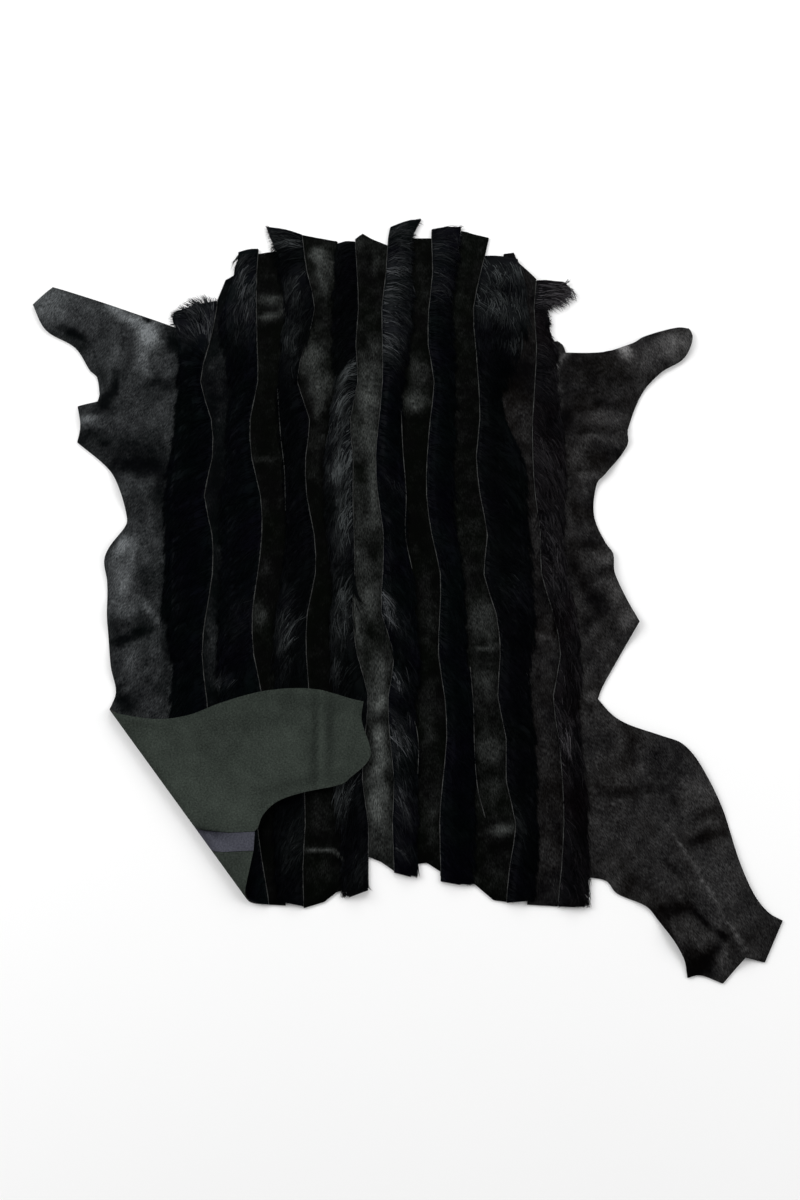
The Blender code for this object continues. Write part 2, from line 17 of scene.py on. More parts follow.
import bmesh
import bpy
import numpy as np
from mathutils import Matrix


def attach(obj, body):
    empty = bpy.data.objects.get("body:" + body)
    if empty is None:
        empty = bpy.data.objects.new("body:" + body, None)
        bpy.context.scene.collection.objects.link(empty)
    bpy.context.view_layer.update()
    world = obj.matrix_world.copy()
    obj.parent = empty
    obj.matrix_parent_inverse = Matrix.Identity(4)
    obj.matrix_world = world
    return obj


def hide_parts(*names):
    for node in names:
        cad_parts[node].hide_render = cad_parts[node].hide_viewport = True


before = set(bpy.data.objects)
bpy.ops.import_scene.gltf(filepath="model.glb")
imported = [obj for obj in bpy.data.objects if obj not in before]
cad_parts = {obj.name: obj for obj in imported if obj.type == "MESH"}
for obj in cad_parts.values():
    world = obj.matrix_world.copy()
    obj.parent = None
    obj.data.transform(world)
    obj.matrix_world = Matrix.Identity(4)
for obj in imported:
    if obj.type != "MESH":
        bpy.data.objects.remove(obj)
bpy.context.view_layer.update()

LOG = logging.getLogger("hide")
CM = 0.01
MM = 0.001
# How an even-stepped tone becomes light, and the tone of the lightest hair
EYE_GAMMA = 2.2
TOP_TONE = 1.4
# Half of the gap that a seam leaves between two pieces
HALF_SEAM = 0.25 * MM
Array = np.ndarray
Colour = tuple[float, float, float]
Point = tuple[float, float]
MeshParts = tuple[Array, Array, Array]


class Layer(Enum):
    """The three surfaces of a leather piece, as its material slots."""

    COAT = 0
    FLESH = 1
    EDGE = 2


class Lie(Enum):
    """Which way the hair of a strip lies across the hide."""

    LEFT = -1
    RIGHT = 1


@dataclass(frozen=True)
class Ridge:
    """A soft fold or trough between two points, in centimetres, with its height in millimetres."""

    x0: float
    y0: float
    x1: float
    y1: float
    half_cm: float
    high_mm: float


@dataclass(frozen=True)
class ToneAndPaintedLightPatch:
    """A soft light or dark place painted into a coat's colour. The patches paint sheen, highlights on
    folds and creases and shade in troughs, as well as the coat's own lighter and darker places.

    It has its centre and half sizes in centimetres, its turn in degrees, and the tone that it brings.
    """

    x: float
    y: float
    along: float
    across: float
    turn: float
    tone: float


@dataclass(frozen=True)
class Lines:
    """One line for each fur strip, across the hide at height y, in centimetres."""

    y: float
    fur_1: float
    fur_2: float
    fur_3: float
    fur_4: float
    fur_5: float
    fur_6: float
    fur_7: float
    fur_8: float


@dataclass(frozen=True)
class Lean:
    """How far the hair turns from straight across towards the tail, in degrees, at height y.

    fan is what it turns more at the outer edge than at the seam.
    """

    y: float
    degrees: float
    fan: float = 0.0


# The seams where the hair of each strip starts
SEAMS = (
    Lines(50, -21.5, -16.4, -11.1, -4.3, 0.9, 5.8, 13.6, 19.4),
    Lines(45, -21.5, -16.4, -10.9, -4.2, 0.1, 5.6, 12.9, 19.2),
    Lines(40, -21.5, -16.6, -10.2, -3.9, -0.2, 5.7, 11.8, 18.9),
    Lines(35, -21.5, -16.5, -9.2, -3.7, -0.7, 5.2, 10.8, 18.4),
    Lines(30, -22.3, -16.3, -10.3, -4.0, -0.6, 5.1, 11.0, 18.6),
    Lines(25, -23.2, -16.1, -11.2, -3.7, -0.6, 5.8, 11.3, 18.3),
    Lines(20, -21.7, -16.9, -9.6, -4.6, -1.0, 5.3, 11.4, 17.9),
    Lines(15, -21.4, -16.6, -10.0, -4.2, -1.4, 4.9, 10.9, 17.8),
    Lines(10, -22.2, -15.4, -9.8, -4.2, -1.1, 4.8, 11.3, 18.0),
    Lines(5, -21.1, -15.1, -8.8, -4.0, -0.4, 5.4, 12.1, 18.5),
    Lines(0, -20.9, -15.5, -8.6, -3.9, -0.5, 6.4, 11.6, 18.5),
    Lines(-5, -21.5, -16.0, -9.5, -4.1, -0.6, 6.3, 13.0, 19.8),
    Lines(-10, -21.8, -15.7, -9.5, -3.5, 0.9, 6.1, 13.4, 20.5),
    Lines(-15, -21.1, -14.6, -9.1, -2.2, 0.2, 6.8, 13.0, 19.5),
    Lines(-20, -20.6, -14.6, -9.3, -2.6, 0.4, 7.0, 13.9, 20.0),
    Lines(-25, -20.2, -15.0, -9.5, -2.8, 0.9, 6.5, 13.8, 20.3),
    Lines(-30, -19.9, -14.8, -9.3, -2.1, 0.7, 6.1, 14.8, 20.3),
    Lines(-35, -20.6, -14.0, -9.5, -2.1, 0.9, 6.2, 14.0, 19.9),
    Lines(-40, -22.2, -13.1, -9.3, -2.0, 0.5, 6.0, 13.5, 19.3),
    Lines(-45, -22.2, -13.1, -9.3, -2.0, 0.5, 6.0, 13.5, 19.3),
)

# Where the tips of that hair lie
RIMS = (
    Lines(50, -26.0, -19.1, -16.4, -6.8, 4.7, 9.6, 15.9, 22.0),
    Lines(45, -26.0, -19.1, -15.2, -6.8, 3.3, 9.4, 16.3, 22.0),
    Lines(40, -26.4, -19.5, -13.6, -6.6, 3.2, 8.5, 17.3, 22.0),
    Lines(35, -27.1, -21.0, -13.0, -6.9, 3.3, 8.0, 17.9, 19.9),
    Lines(30, -26.4, -20.3, -13.3, -6.7, 2.8, 8.3, 16.8, 21.0),
    Lines(25, -25.9, -19.2, -13.6, -6.4, 1.8, 8.4, 14.1, 20.9),
    Lines(20, -26.1, -19.8, -13.2, -7.2, 1.5, 8.2, 14.8, 21.6),
    Lines(15, -26.7, -19.6, -12.6, -7.7, 1.9, 8.0, 17.0, 21.8),
    Lines(10, -27.0, -20.2, -12.3, -7.6, 2.4, 8.1, 17.0, 21.5),
    Lines(5, -26.7, -20.0, -12.3, -7.0, 2.3, 8.3, 17.1, 21.2),
    Lines(0, -26.7, -19.8, -12.7, -6.5, 3.2, 9.2, 17.5, 21.6),
    Lines(-5, -26.2, -19.9, -13.4, -6.7, 3.6, 9.2, 17.6, 22.4),
    Lines(-10, -25.1, -19.9, -13.3, -6.5, 3.8, 9.5, 16.6, 22.8),
    Lines(-15, -25.3, -19.6, -13.0, -6.2, 3.3, 10.0, 17.0, 22.4),
    Lines(-20, -25.0, -18.6, -13.0, -6.2, 3.7, 10.1, 17.2, 22.5),
    Lines(-25, -24.6, -18.4, -13.0, -5.9, 3.5, 10.2, 17.1, 22.9),
    Lines(-30, -24.0, -18.2, -12.8, -5.2, 3.4, 10.2, 17.4, 22.9),
    Lines(-35, -24.2, -17.4, -12.4, -4.9, 3.5, 9.6, 16.8, 22.9),
    Lines(-40, -25.2, -16.2, -11.9, -4.6, 3.5, 9.2, 16.3, 22.7),
    Lines(-45, -25.2, -16.2, -11.9, -4.6, 3.5, 9.2, 16.3, 22.7),
)

# Pale edges that show past the hair, by the strip whose seam welt they go with, in centimetres
RIM_LINES = {
    "fur_3": (((-13.6, 24.0), (-13.1, 18.0), (-12.5, 13.0), (-12.3, 8.0)),),
    "fur_5": (
        ((1.7, 21.0), (1.9, 16.0), (2.3, 10.0), (2.2, 5.0), (3.0, 0.6)),
        ((2.6, -16.6), (3.4, -18.6), (3.7, -21.0), (3.6, -24.2)),
    ),
    "fur_6": (((9.8, -11.5), (10.1, -16.0), (10.2, -22.0), (10.5, -26.0), (11.3, -29.3)),),
    "fur_7": (((16.2, -9.6), (16.3, -11.8), (17.0, -13.8)),),
}

# The soft folds of the frame's solids
RIDGES = (
    Ridge(-41.5, 35.2, -31.0, 31.2, 2.4, 7.0),
    Ridge(-33.0, 26.5, -32.4, 21.0, 1.7, 6.5),
    Ridge(-37.0, 20.2, -35.4, 19.0, 1.3, 5.0),
    Ridge(-32.5, 17.2, -29.0, 16.2, 1.7, 4.5),
    Ridge(-32.5, 10.6, -29.0, 10.8, 1.8, 5.5),
    Ridge(-32.0, 2.8, -29.8, -0.5, 2.2, 6.0),
    Ridge(-32.0, -5.1, -28.4, -4.8, 1.5, 6.5),
    Ridge(-31.5, -11.2, -28.8, -10.8, 1.7, 4.0),
    Ridge(30.8, 27.3, 36.2, 30.3, 2.0, 6.0),
    Ridge(28.4, 27.0, 29.8, 30.0, 1.4, 4.5),
    Ridge(24.6, 25.4, 26.5, 27.0, 1.8, 4.0),
    Ridge(24.4, 18.3, 28.0, 17.6, 1.5, 5.0),
    Ridge(25.2, 12.7, 27.0, 13.2, 1.4, 3.5),
    Ridge(25.8, 2.2, 26.8, -1.6, 1.6, 5.0),
    Ridge(27.0, -5.2, 28.8, -6.0, 1.9, 5.5),
    Ridge(26.2, -19.0, 31.5, -21.2, 2.0, 5.0),
    Ridge(25.8, -25.6, 31.0, -25.2, 1.5, 5.0),
    Ridge(27.0, -29.3, 32.4, -28.4, 1.6, 4.0),
    Ridge(34.4, -23.2, 36.0, -27.6, 1.9, 5.0),
    Ridge(32.5, -32.0, 39.6, -43.8, 1.5, 8.0),
    Ridge(38.0, -33.5, 41.2, -40.4, 1.7, 4.0),
    Ridge(30.4, -37.4, 33.0, -37.2, 1.6, 6.5),
    Ridge(33.4, -42.6, 35.6, -43.6, 2.0, 9.0),
    Ridge(-8.8, 42.6, -8.0, 37.0, 2.0, 4.0),
    Ridge(-9.0, 28.6, -8.4, 23.0, 2.2, 4.5),
    Ridge(13.2, 39.2, 17.6, 38.6, 1.9, 6.0),
    Ridge(13.8, 34.4, 17.0, 34.0, 1.8, 4.0),
)

# Smaller creases of the upper side alone
CREASES = (
    Ridge(-4.0, -3.0, -3.3, -9.0, 0.35, 1.2),
    Ridge(-3.3, -9.0, -2.0, -13.0, 0.35, 1.3),
    Ridge(9.7, -9.7, 13.2, -8.7, 0.35, 1.3),
    Ridge(9.7, -10.5, 13.2, -9.5, 0.4, -0.8),
    Ridge(16.3, -10.0, 16.9, -13.7, 0.3, 0.9),
    Ridge(-9.3, -32.8, -6.0, -33.2, 0.4, 1.4),
    Ridge(-6.0, -33.2, -4.7, -34.2, 0.4, 1.4),
    Ridge(-9.0, -33.9, -6.0, -34.3, 0.6, -1.2),
    Ridge(20.3, 24.0, 20.8, 27.0, 0.4, 1.0),
    Ridge(20.8, 27.0, 22.5, 29.0, 0.4, 1.0),
    Ridge(23.0, -28.3, 26.0, -27.0, 0.5, -1.3),
    Ridge(26.0, -27.0, 32.0, -26.5, 0.5, -1.2),
    Ridge(32.8, -26.0, 33.3, -28.0, 0.5, -1.0),
    Ridge(32.0, -31.0, 40.3, -44.5, 0.35, 1.2),
    Ridge(-29.0, -3.5, -26.5, -7.5, 0.5, 1.0),
    Ridge(-16.2, 34.0, -12.8, 34.2, 0.7, 1.3),
    Ridge(-16.2, 36.5, -12.8, 36.9, 0.7, 1.3),
    Ridge(12.0, -29.5, 15.0, -31.0, 0.9, 1.5),
    Ridge(11.0, -33.0, 14.0, -33.6, 0.9, -1.2),
)

# The free edge of each flank as it lies, from the neck end of its seam to the tail end
WEST_EDGE = (
    (-26.5, 32.4), (-30.3, 33.7), (-36.0, 35.8), (-42.2, 37.9), (-44.6, 35.5), (-42.8, 32.1),
    (-39.0, 29.7), (-36.9, 26.5), (-36.1, 25.8), (-35.6, 23.3), (-35.8, 22.4), (-38.2, 21.7),
    (-37.7, 19.2), (-38.0, 17.0), (-34.0, 13.5), (-32.5, 10.8), (-31.5, 7.5), (-31.5, 6.2),
    (-33.8, 2.1), (-33.4, -1.0), (-33.1, -6.0), (-32.4, -11.5), (-31.7, -14.6),
)
EAST_EDGE = (
    (21.2, 30.6), (21.9, 30.0), (22.2, 29.0), (27.0, 29.0), (30.5, 30.0), (32.0, 31.1),
    (36.3, 32.3), (37.7, 32.2), (38.1, 31.2), (37.6, 29.3), (36.6, 27.9), (34.0, 26.3),
    (31.5, 23.5), (29.5, 18.5), (29.4, 16.6), (26.5, 12.7), (25.5, 11.6), (25.0, 7.5),
    (26.3, 3.8), (27.1, 2.5), (27.2, 0.0), (29.0, -4.2), (29.9, -6.0), (27.5, -10.0),
    (25.2, -14.0), (24.7, -15.3), (26.3, -17.3), (28.0, -18.4), (32.0, -19.8), (34.3, -20.7),
    (36.3, -23.3), (38.6, -28.5), (40.0, -34.0), (41.5, -38.0), (43.0, -40.0), (44.6, -40.9),
    (42.3, -45.5), (40.1, -45.0), (37.5, -47.8), (35.0, -46.9), (33.6, -47.2), (33.2, -45.0),
    (30.5, -40.7), (29.3, -39.3), (26.0, -37.8), (25.0, -36.5), (23.4, -36.1),
)

# The folded leg's edge as it lies, and the ends of the fur strip and smooth strip past it
LEG_EDGE = (
    (-32.2, -16.8), (-30.5, -17.5), (-26.5, -18.0), (-23.0, -17.5), (-19.0, -15.9),
    (-14.0, -14.5), (-8.5, -14.3), (-4.0, -15.5), (-2.7, -15.8), (-2.9, -18.0), (-1.8, -21.8),
    (-2.4, -23.2), (-4.2, -24.8), (-5.0, -25.5), (-9.5, -26.5), (-12.5, -27.6), (-14.1, -29.2),
    (-14.6, -30.6),
)
LEG_TAIL = ((-15.0, -33.3), (-15.5, -38.6))

# The strips whose tail ends reach into the fold
IN_THE_FOLD = ("fur_1", "fur_2", "smooth_1")

# The light and dark places of each coat, each row the six values of a patch: painted sheen, painted
# highlights on folds, painted shade in troughs, and the coat's own tone
TONE_AND_PAINTED_LIGHT_ROWS = {
    # Painted highlights on the foreleg and along the flank's folds, painted shade in the creases and
    # troughs between them
    "west_flank": (
        (-42.0, 35.3, 3.4, 2.6, -30, 0.92), (-38.0, 34.2, 3.5, 2.0, -30, 0.60),
        (-34.3, 34.7, 1.7, 0.8, -20, 1.15), (-31.6, 33.2, 2.4, 0.9, -20, 1.20),
        (-29.7, 31.0, 2.2, 1.4, 90, 1.38), (-30.6, 27.8, 1.0, 2.2, 0, 0.92),
        (-33.5, 31.8, 1.4, 1.2, 0, 0.50), (-39.3, 31.3, 1.9, 0.8, -25, 0.08),
        (-30.0, 33.3, 0.5, 0.4, 0, 0.00), (-26.9, 30.8, 1.1, 1.9, 10, 0.12),
        (-28.0, 28.2, 1.3, 1.0, 0, 0.60), (-28.2, 24.7, 2.2, 0.8, 0, 0.17),
        (-34.2, 28.5, 1.3, 2.4, 20, 0.62), (-31.8, 24.0, 1.4, 2.2, 0, 0.46),
        (-29.6, 20.0, 3.0, 3.2, 0, 0.52), (-34.6, 22.6, 0.9, 1.8, -20, 0.02),
        (-33.6, 24.5, 0.3, 2.0, 0, 0.05), (-36.9, 19.8, 1.5, 0.6, 10, 1.05),
        (-35.3, 19.1, 1.2, 0.5, 10, 0.70), (-36.6, 17.9, 1.6, 0.8, 10, 0.14),
        (-34.4, 16.4, 1.8, 0.5, -35, 0.12), (-30.3, 16.2, 3.6, 1.5, -8, 0.20),
        (-30.2, 13.8, 3.8, 1.3, -5, 0.03), (-31.0, 11.3, 1.5, 0.9, 10, 0.58),
        (-27.4, 10.5, 0.9, 3.6, 0, 0.14), (-30.4, 8.8, 1.4, 1.6, 0, 0.48),
        (-31.8, 3.2, 1.9, 0.9, 50, 1.20), (-30.3, 2.5, 0.6, 2.0, 0, 1.00),
        (-31.7, -1.0, 1.5, 2.6, 0, 0.95), (-28.6, 3.6, 1.2, 2.2, 0, 0.56),
        (-28.3, -1.0, 1.2, 1.8, 0, 0.33), (-31.0, -4.5, 1.8, 1.2, 0, 0.72),
        (-28.3, -4.5, 1.1, 0.3, -50, 0.95), (-27.0, -6.3, 1.2, 0.3, -60, 0.90),
        (-29.0, -7.2, 1.5, 0.6, 15, 0.10), (-31.3, -8.2, 1.5, 0.7, 10, 0.02),
        (-27.8, -9.6, 1.2, 1.0, 0, 0.50), (-30.2, -11.2, 1.5, 1.6, 0, 0.64),
        (-31.4, -13.9, 1.0, 0.25, 15, 0.15), (-30.3, -15.8, 1.6, 0.9, -15, 0.12),
        (-27.5, -16.0, 1.4, 1.0, 0, 0.55), (-25.9, 0.0, 0.7, 14.0, 0, 0.12),
    ),
    "smooth_1": (
        (-21.0, 27.0, 1.2, 3.0, 0, 0.30), (-20.2, 20.0, 0.9, 1.8, 0, 0.24),
        (-19.9, 2.5, 0.8, 1.6, 0, 0.30), (-20.7, -7.5, 0.9, 4.2, 0, 0.38),
        (-20.0, -13.0, 0.9, 1.2, 0, 0.28),
    ),
    # Painted highlights on the two raised creases near the neck, with painted shade between them
    "smooth_2": (
        (-15.0, 41.6, 1.6, 1.4, 0, 0.07), (-15.0, 39.4, 1.6, 0.25, 3, 0.32),
        (-14.6, 35.2, 2.2, 2.0, 0, 0.40), (-14.5, 36.5, 2.0, 0.5, -6, 0.50),
        (-14.9, 33.9, 1.8, 0.4, 5, 0.60), (-15.0, 35.1, 1.5, 0.5, 0, 0.08),
        (-13.2, 35.0, 0.4, 1.2, 0, 0.50), (-14.9, 31.5, 1.3, 1.3, 0, 0.06),
        (-14.8, 27.0, 1.1, 2.8, 0, 0.16), (-14.9, 14.6, 1.8, 0.6, 0, 0.34),
        (-14.7, 9.0, 1.0, 2.0, 0, 0.15), (-14.7, 0.5, 1.1, 2.0, 0, 0.22),
        (-15.0, -5.2, 1.1, 1.6, 0, 0.42), (-14.5, -11.0, 1.2, 2.4, 0, 0.06),
    ),
    # Painted highlights on the raised creases near the tail end
    "smooth_3": (
        (-8.0, 40.0, 2.2, 4.2, 0, 0.38), (-8.6, 42.2, 1.6, 1.0, -20, 0.68),
        (-8.5, 39.6, 0.6, 2.6, 10, 0.62), (-9.6, 36.6, 0.5, 1.8, 0, 0.14),
        (-7.0, 40.6, 0.5, 1.6, 0, 0.46), (-8.0, 33.0, 1.4, 2.4, 0, 0.20),
        (-9.4, 28.0, 2.1, 3.2, 0, 0.55), (-8.2, 24.0, 1.6, 1.8, -20, 0.60),
        (-8.6, 21.2, 1.0, 1.4, 0, 0.50), (-8.8, 17.0, 1.0, 2.0, 0, 0.30),
        (-8.8, 13.0, 0.9, 1.6, 0, 0.17), (-8.5, 6.0, 1.2, 4.0, 0, 0.06),
        (-8.0, -8.0, 1.2, 6.0, 0, 0.07), (-7.3, -29.0, 1.6, 2.4, 0, 0.26),
        (-7.4, -31.8, 2.0, 0.7, 0, 0.08), (-7.2, -35.6, 2.2, 1.5, 0, 0.22),
        (-8.3, -32.9, 1.6, 0.26, 0, 0.66), (-6.3, -33.2, 1.6, 0.26, -14, 0.66),
        (-5.0, -33.9, 1.0, 0.26, -40, 0.58),
    ),
    "smooth_4": (
        (-2.2, 38.2, 3.4, 9.0, 0, 0.12), (-1.5, 41.5, 0.5, 1.8, 0, 0.42),
        (-3.6, 43.6, 0.5, 1.2, 0, 0.34), (-2.0, 31.6, 1.6, 1.2, 0, 0.20),
        (-1.3, 29.6, 1.0, 0.9, 0, 0.55), (-3.4, 30.0, 0.9, 1.6, 0, 0.12),
        (-2.2, 26.8, 1.5, 1.9, 0, 0.50), (-2.5, 23.0, 1.6, 2.2, 0, 0.67),
        (-2.5, 18.0, 1.3, 2.2, 0, 0.60), (-1.7, 11.0, 0.6, 6.0, 0, 0.67),
        (-3.2, 13.0, 0.8, 1.8, 0, 0.12), (-3.2, 6.0, 0.6, 3.4, 0, 0.41),
        (-1.6, 3.2, 0.8, 1.8, 0, 0.14), (-2.6, 0.6, 0.8, 2.6, 0, 0.43),
        (-2.0, -3.2, 1.3, 2.2, 0, 0.60), (-3.5, -6.0, 0.3, 3.4, 5, 0.72),
        (-1.3, -7.6, 1.2, 1.8, 0, 0.17), (-0.9, -12.0, 0.9, 2.0, 0, 0.66),
        (-0.9, -15.5, 0.8, 1.4, 0, 1.02), (-0.9, -20.2, 1.0, 1.8, 0, 0.91),
        (-0.7, -17.9, 0.9, 0.4, 0, 0.20), (-1.0, -23.6, 1.0, 1.8, 0, 0.84),
        (0.3, -24.8, 0.6, 1.0, 20, 0.15), (-0.9, -28.0, 1.2, 2.6, 0, 0.84),
        (-0.9, -32.4, 1.0, 1.6, 0, 0.46),
    ),
    "smooth_5": (
        (4.3, 38.0, 1.4, 6.0, 0, 0.20), (3.8, 26.6, 1.6, 2.6, 0, 0.36),
        (3.4, 22.4, 1.8, 1.7, 10, 0.58), (4.4, 0.0, 1.2, 3.0, 0, 0.17),
        (5.0, -6.0, 1.1, 4.0, 0, 0.24), (5.0, -18.0, 1.3, 5.6, 0, 0.27),
        (5.2, -28.5, 1.3, 4.0, 0, 0.31),
    ),
    # A painted highlight on the raised crease and painted shade in the trough beside it
    "smooth_6": (
        (10.6, 20.0, 1.6, 12.0, 0, 0.09), (10.5, 5.0, 1.4, 3.0, 0, 0.19),
        (11.5, -5.5, 1.8, 2.6, 0, 0.50), (11.5, -9.2, 2.0, 0.28, 8, 0.62),
        (11.5, -10.0, 1.8, 0.40, 8, 0.24), (11.5, -13.6, 1.7, 2.6, 0, 0.42),
        (11.5, -17.8, 1.2, 0.9, 0, 0.20), (11.9, -21.2, 2.0, 2.2, 0, 0.46),
        (12.0, -26.2, 1.7, 2.2, 0, 0.30), (12.8, -32.3, 2.4, 0.7, 5, 0.05),
        (13.3, -30.6, 1.6, 0.6, 15, 0.75), (12.0, -35.8, 2.0, 1.5, 0, 0.20),
    ),
    "smooth_7": (
        (16.6, 42.0, 1.4, 1.4, 0, 0.12), (17.2, 37.0, 1.0, 2.4, 0, 0.20),
        (16.3, 25.4, 1.9, 3.2, 0, 0.07), (17.0, 19.3, 0.9, 3.0, 10, 0.42),
        (17.6, 11.5, 0.8, 2.8, 0, 0.18), (18.0, 5.0, 0.7, 3.0, 0, 0.45),
        (18.4, -8.0, 1.2, 0.8, 20, 0.50), (18.3, -11.6, 1.2, 2.0, 0, 0.38),
        (18.3, -16.0, 1.2, 1.8, 0, 0.29), (18.5, -22.0, 1.5, 2.6, 0, 0.36),
        (18.4, -27.3, 1.3, 1.8, 0, 0.24), (16.8, -32.8, 1.2, 1.8, 0, 0.48),
        (18.4, -32.4, 0.8, 1.6, 20, 0.36), (17.6, -37.2, 1.5, 1.6, 0, 0.22),
    ),
    # Painted highlights along the ridges and creases of the foreleg, flank and hind leg, painted shade
    # in the deep trough at the leg's end
    "east_flank": (
        (33.0, -32.0, 11.0, 11.0, 0, 0.45), (25.0, 26.0, 3.8, 3.2, 0, 0.20),
        (23.2, 24.0, 1.6, 2.0, 0, 0.30), (27.7, 24.0, 2.4, 1.4, 20, 0.35),
        (20.8, 26.2, 1.9, 0.35, 75, 0.95), (22.0, 28.5, 1.2, 0.3, 45, 0.80),
        (21.2, 22.6, 0.4, 1.6, 0, 0.50), (32.0, 27.6, 1.9, 1.8, 40, 0.60),
        (35.6, 29.9, 2.8, 1.8, 25, 0.84), (29.7, 29.0, 0.8, 1.1, 0, 1.40),
        (32.7, 24.9, 1.2, 0.25, 50, 0.20), (26.0, 21.8, 3.6, 0.6, 10, 0.20),
        (27.0, 20.0, 2.6, 1.1, 5, 0.54), (22.2, 20.0, 1.4, 2.2, 0, 0.10),
        (25.0, 18.5, 1.8, 0.6, 0, 0.28), (23.0, 15.0, 0.9, 1.6, -30, 0.50),
        (26.0, 14.9, 1.7, 1.3, 0, 0.15), (24.7, 12.5, 1.9, 0.4, -10, 0.62),
        (25.2, 17.4, 3.0, 0.28, 0, 0.62), (27.9, 16.6, 0.7, 0.2, -60, 0.60),
        (24.4, 8.0, 1.2, 2.0, 0, 0.22), (23.6, 5.4, 1.6, 0.5, 5, 0.42),
        (24.4, 3.7, 1.8, 0.7, 0, 0.14), (26.0, 1.9, 1.4, 0.9, 10, 0.70),
        (27.0, -2.4, 0.9, 2.2, 20, 0.64), (25.0, -3.5, 1.2, 1.9, 20, 0.09),
        (22.6, 0.5, 0.8, 3.0, 20, 0.15), (28.5, -5.4, 1.0, 1.4, 0, 0.72),
        (25.6, -9.4, 1.6, 2.2, -20, 0.45), (24.0, -15.0, 1.2, 0.7, 0, 0.66),
        (22.6, -16.2, 0.3, 0.9, -20, 0.10), (23.7, -16.7, 0.25, 0.6, 30, 0.20),
        (25.0, -18.5, 1.6, 1.0, -20, 0.46), (28.3, -20.5, 0.8, 1.3, -20, 0.22),
        (29.2, -23.3, 0.4, 1.2, -10, 0.60), (32.0, -23.4, 2.0, 1.4, 0, 0.29),
        (23.6, -25.6, 1.6, 0.4, 0, 0.28), (28.0, -26.2, 3.2, 0.6, 5, 0.20),
        (25.0, -28.3, 1.5, 0.2, 25, 0.16), (26.1, -27.7, 1.2, 0.2, 30, 0.56),
        (24.2, -29.6, 1.4, 0.5, 0, 0.52), (33.0, -26.8, 0.5, 1.5, 0, 0.16),
        (35.6, -26.3, 2.1, 1.7, 20, 0.62), (36.8, -28.7, 1.4, 0.45, 30, 0.22),
        (37.4, -29.8, 1.2, 0.35, 25, 0.52), (36.3, -31.6, 2.8, 0.8, 18, 0.12),
        (28.5, -36.4, 1.6, 1.2, 0, 0.24), (38.0, -36.5, 2.4, 4.2, -20, 0.54),
        (32.6, -35.2, 1.8, 0.25, -50, 0.18), (33.6, -32.9, 2.2, 0.2, -57, 0.80),
        (36.0, -37.2, 2.6, 0.2, -60, 0.85), (38.9, -42.4, 2.2, 0.2, -57, 0.85),
        (31.2, -39.9, 1.6, 0.8, 10, 0.04), (33.4, -39.6, 1.6, 0.6, -5, 0.00),
        (35.3, -40.8, 1.4, 0.5, -35, 0.04), (37.5, -42.6, 1.2, 0.4, -40, 0.03),
        (34.0, -42.2, 2.1, 1.1, -15, 0.50), (31.6, -42.2, 0.4, 1.8, 25, 0.10),
        (34.8, -45.7, 1.8, 1.4, 20, 0.00), (36.3, -44.4, 1.0, 0.4, 35, 0.05),
        (37.6, -45.2, 0.5, 1.5, -25, 0.70),
    ),
    "fur_1": (
        (-24.2, 33.8, 3.4, 4.2, 0, 0.40), (-22.0, 33.5, 0.5, 2.8, 0, 0.50),
        (-24.6, 27.0, 3.0, 2.2, 0, 0.03),
    ),
    "fur_2": (
        (-18.2, 36.5, 2.2, 6.8, 0, 0.34), (-18.8, 33.5, 0.7, 1.6, 0, 0.22),
        (-19.0, 27.0, 1.6, 2.2, 0, 0.02), (-17.6, -7.0, 1.2, 3.0, 0, 0.13),
        (-19.3, -13.8, 0.9, 0.8, 0, 0.32),
    ),
    "fur_3": (
        (-14.5, 45.5, 2.2, 1.6, -20, 0.24), (-13.2, 43.8, 1.9, 0.7, -12, 0.42),
        (-12.0, 37.5, 1.4, 3.0, 0, 0.30), (-12.0, 30.0, 1.3, 4.8, 0, 0.27),
        (-12.0, 19.0, 1.5, 5.0, 0, 0.02), (-12.1, -8.0, 1.0, 4.4, 0, 0.36),
        (-11.0, -33.0, 1.4, 3.0, 0, 0.20),
    ),
    # Painted sheen on the long grey hair, painted shade where it lies black
    "fur_4": (
        (-4.8, 35.5, 1.7, 5.4, 0, 0.00), (-5.2, 29.6, 1.5, 2.0, 0, 0.02),
        (-4.8, 26.2, 1.5, 0.35, 40, 0.85), (-5.5, 24.8, 1.3, 0.4, 35, 0.50),
        (-4.2, 24.4, 0.9, 0.5, 30, 0.05), (-6.0, 21.5, 1.3, 2.0, 0, 0.44),
        (-5.8, 17.0, 1.5, 3.2, 0, 0.50), (-5.6, 12.2, 1.6, 2.4, 0, 0.60),
        (-5.2, 6.0, 1.5, 4.2, 0, 0.46), (-4.6, 0.7, 1.7, 0.9, 0, 0.12),
        (-5.4, -5.5, 1.2, 4.4, 0, 0.38), (-4.3, -12.0, 1.0, 1.2, 0, 0.00),
        (-6.0, -12.4, 0.6, 1.8, 0, 0.30), (-5.2, -27.0, 1.0, 3.0, 0, 0.40),
        (-3.2, -29.5, 0.9, 2.8, 0, 0.00), (-3.2, -35.6, 1.0, 1.6, 0, 0.20),
    ),
    "fur_5": (
        (1.4, 40.0, 2.6, 9.0, 0, 0.27), (1.6, 45.5, 1.8, 1.4, 0, 0.36),
        (0.7, 35.0, 1.3, 7.2, 0, 0.60), (2.0, 33.5, 0.7, 2.0, 0, 0.16),
        (0.3, 28.0, 1.0, 2.6, 0, 0.58), (0.8, 19.0, 1.8, 5.0, 0, 0.02),
        (1.2, 10.4, 1.3, 0.6, 5, 0.24), (-0.1, -3.4, 1.7, 0.6, -50, 0.80),
        (0.6, -6.0, 1.7, 0.5, -55, 0.66), (2.2, -7.0, 0.9, 3.2, 0, 0.15),
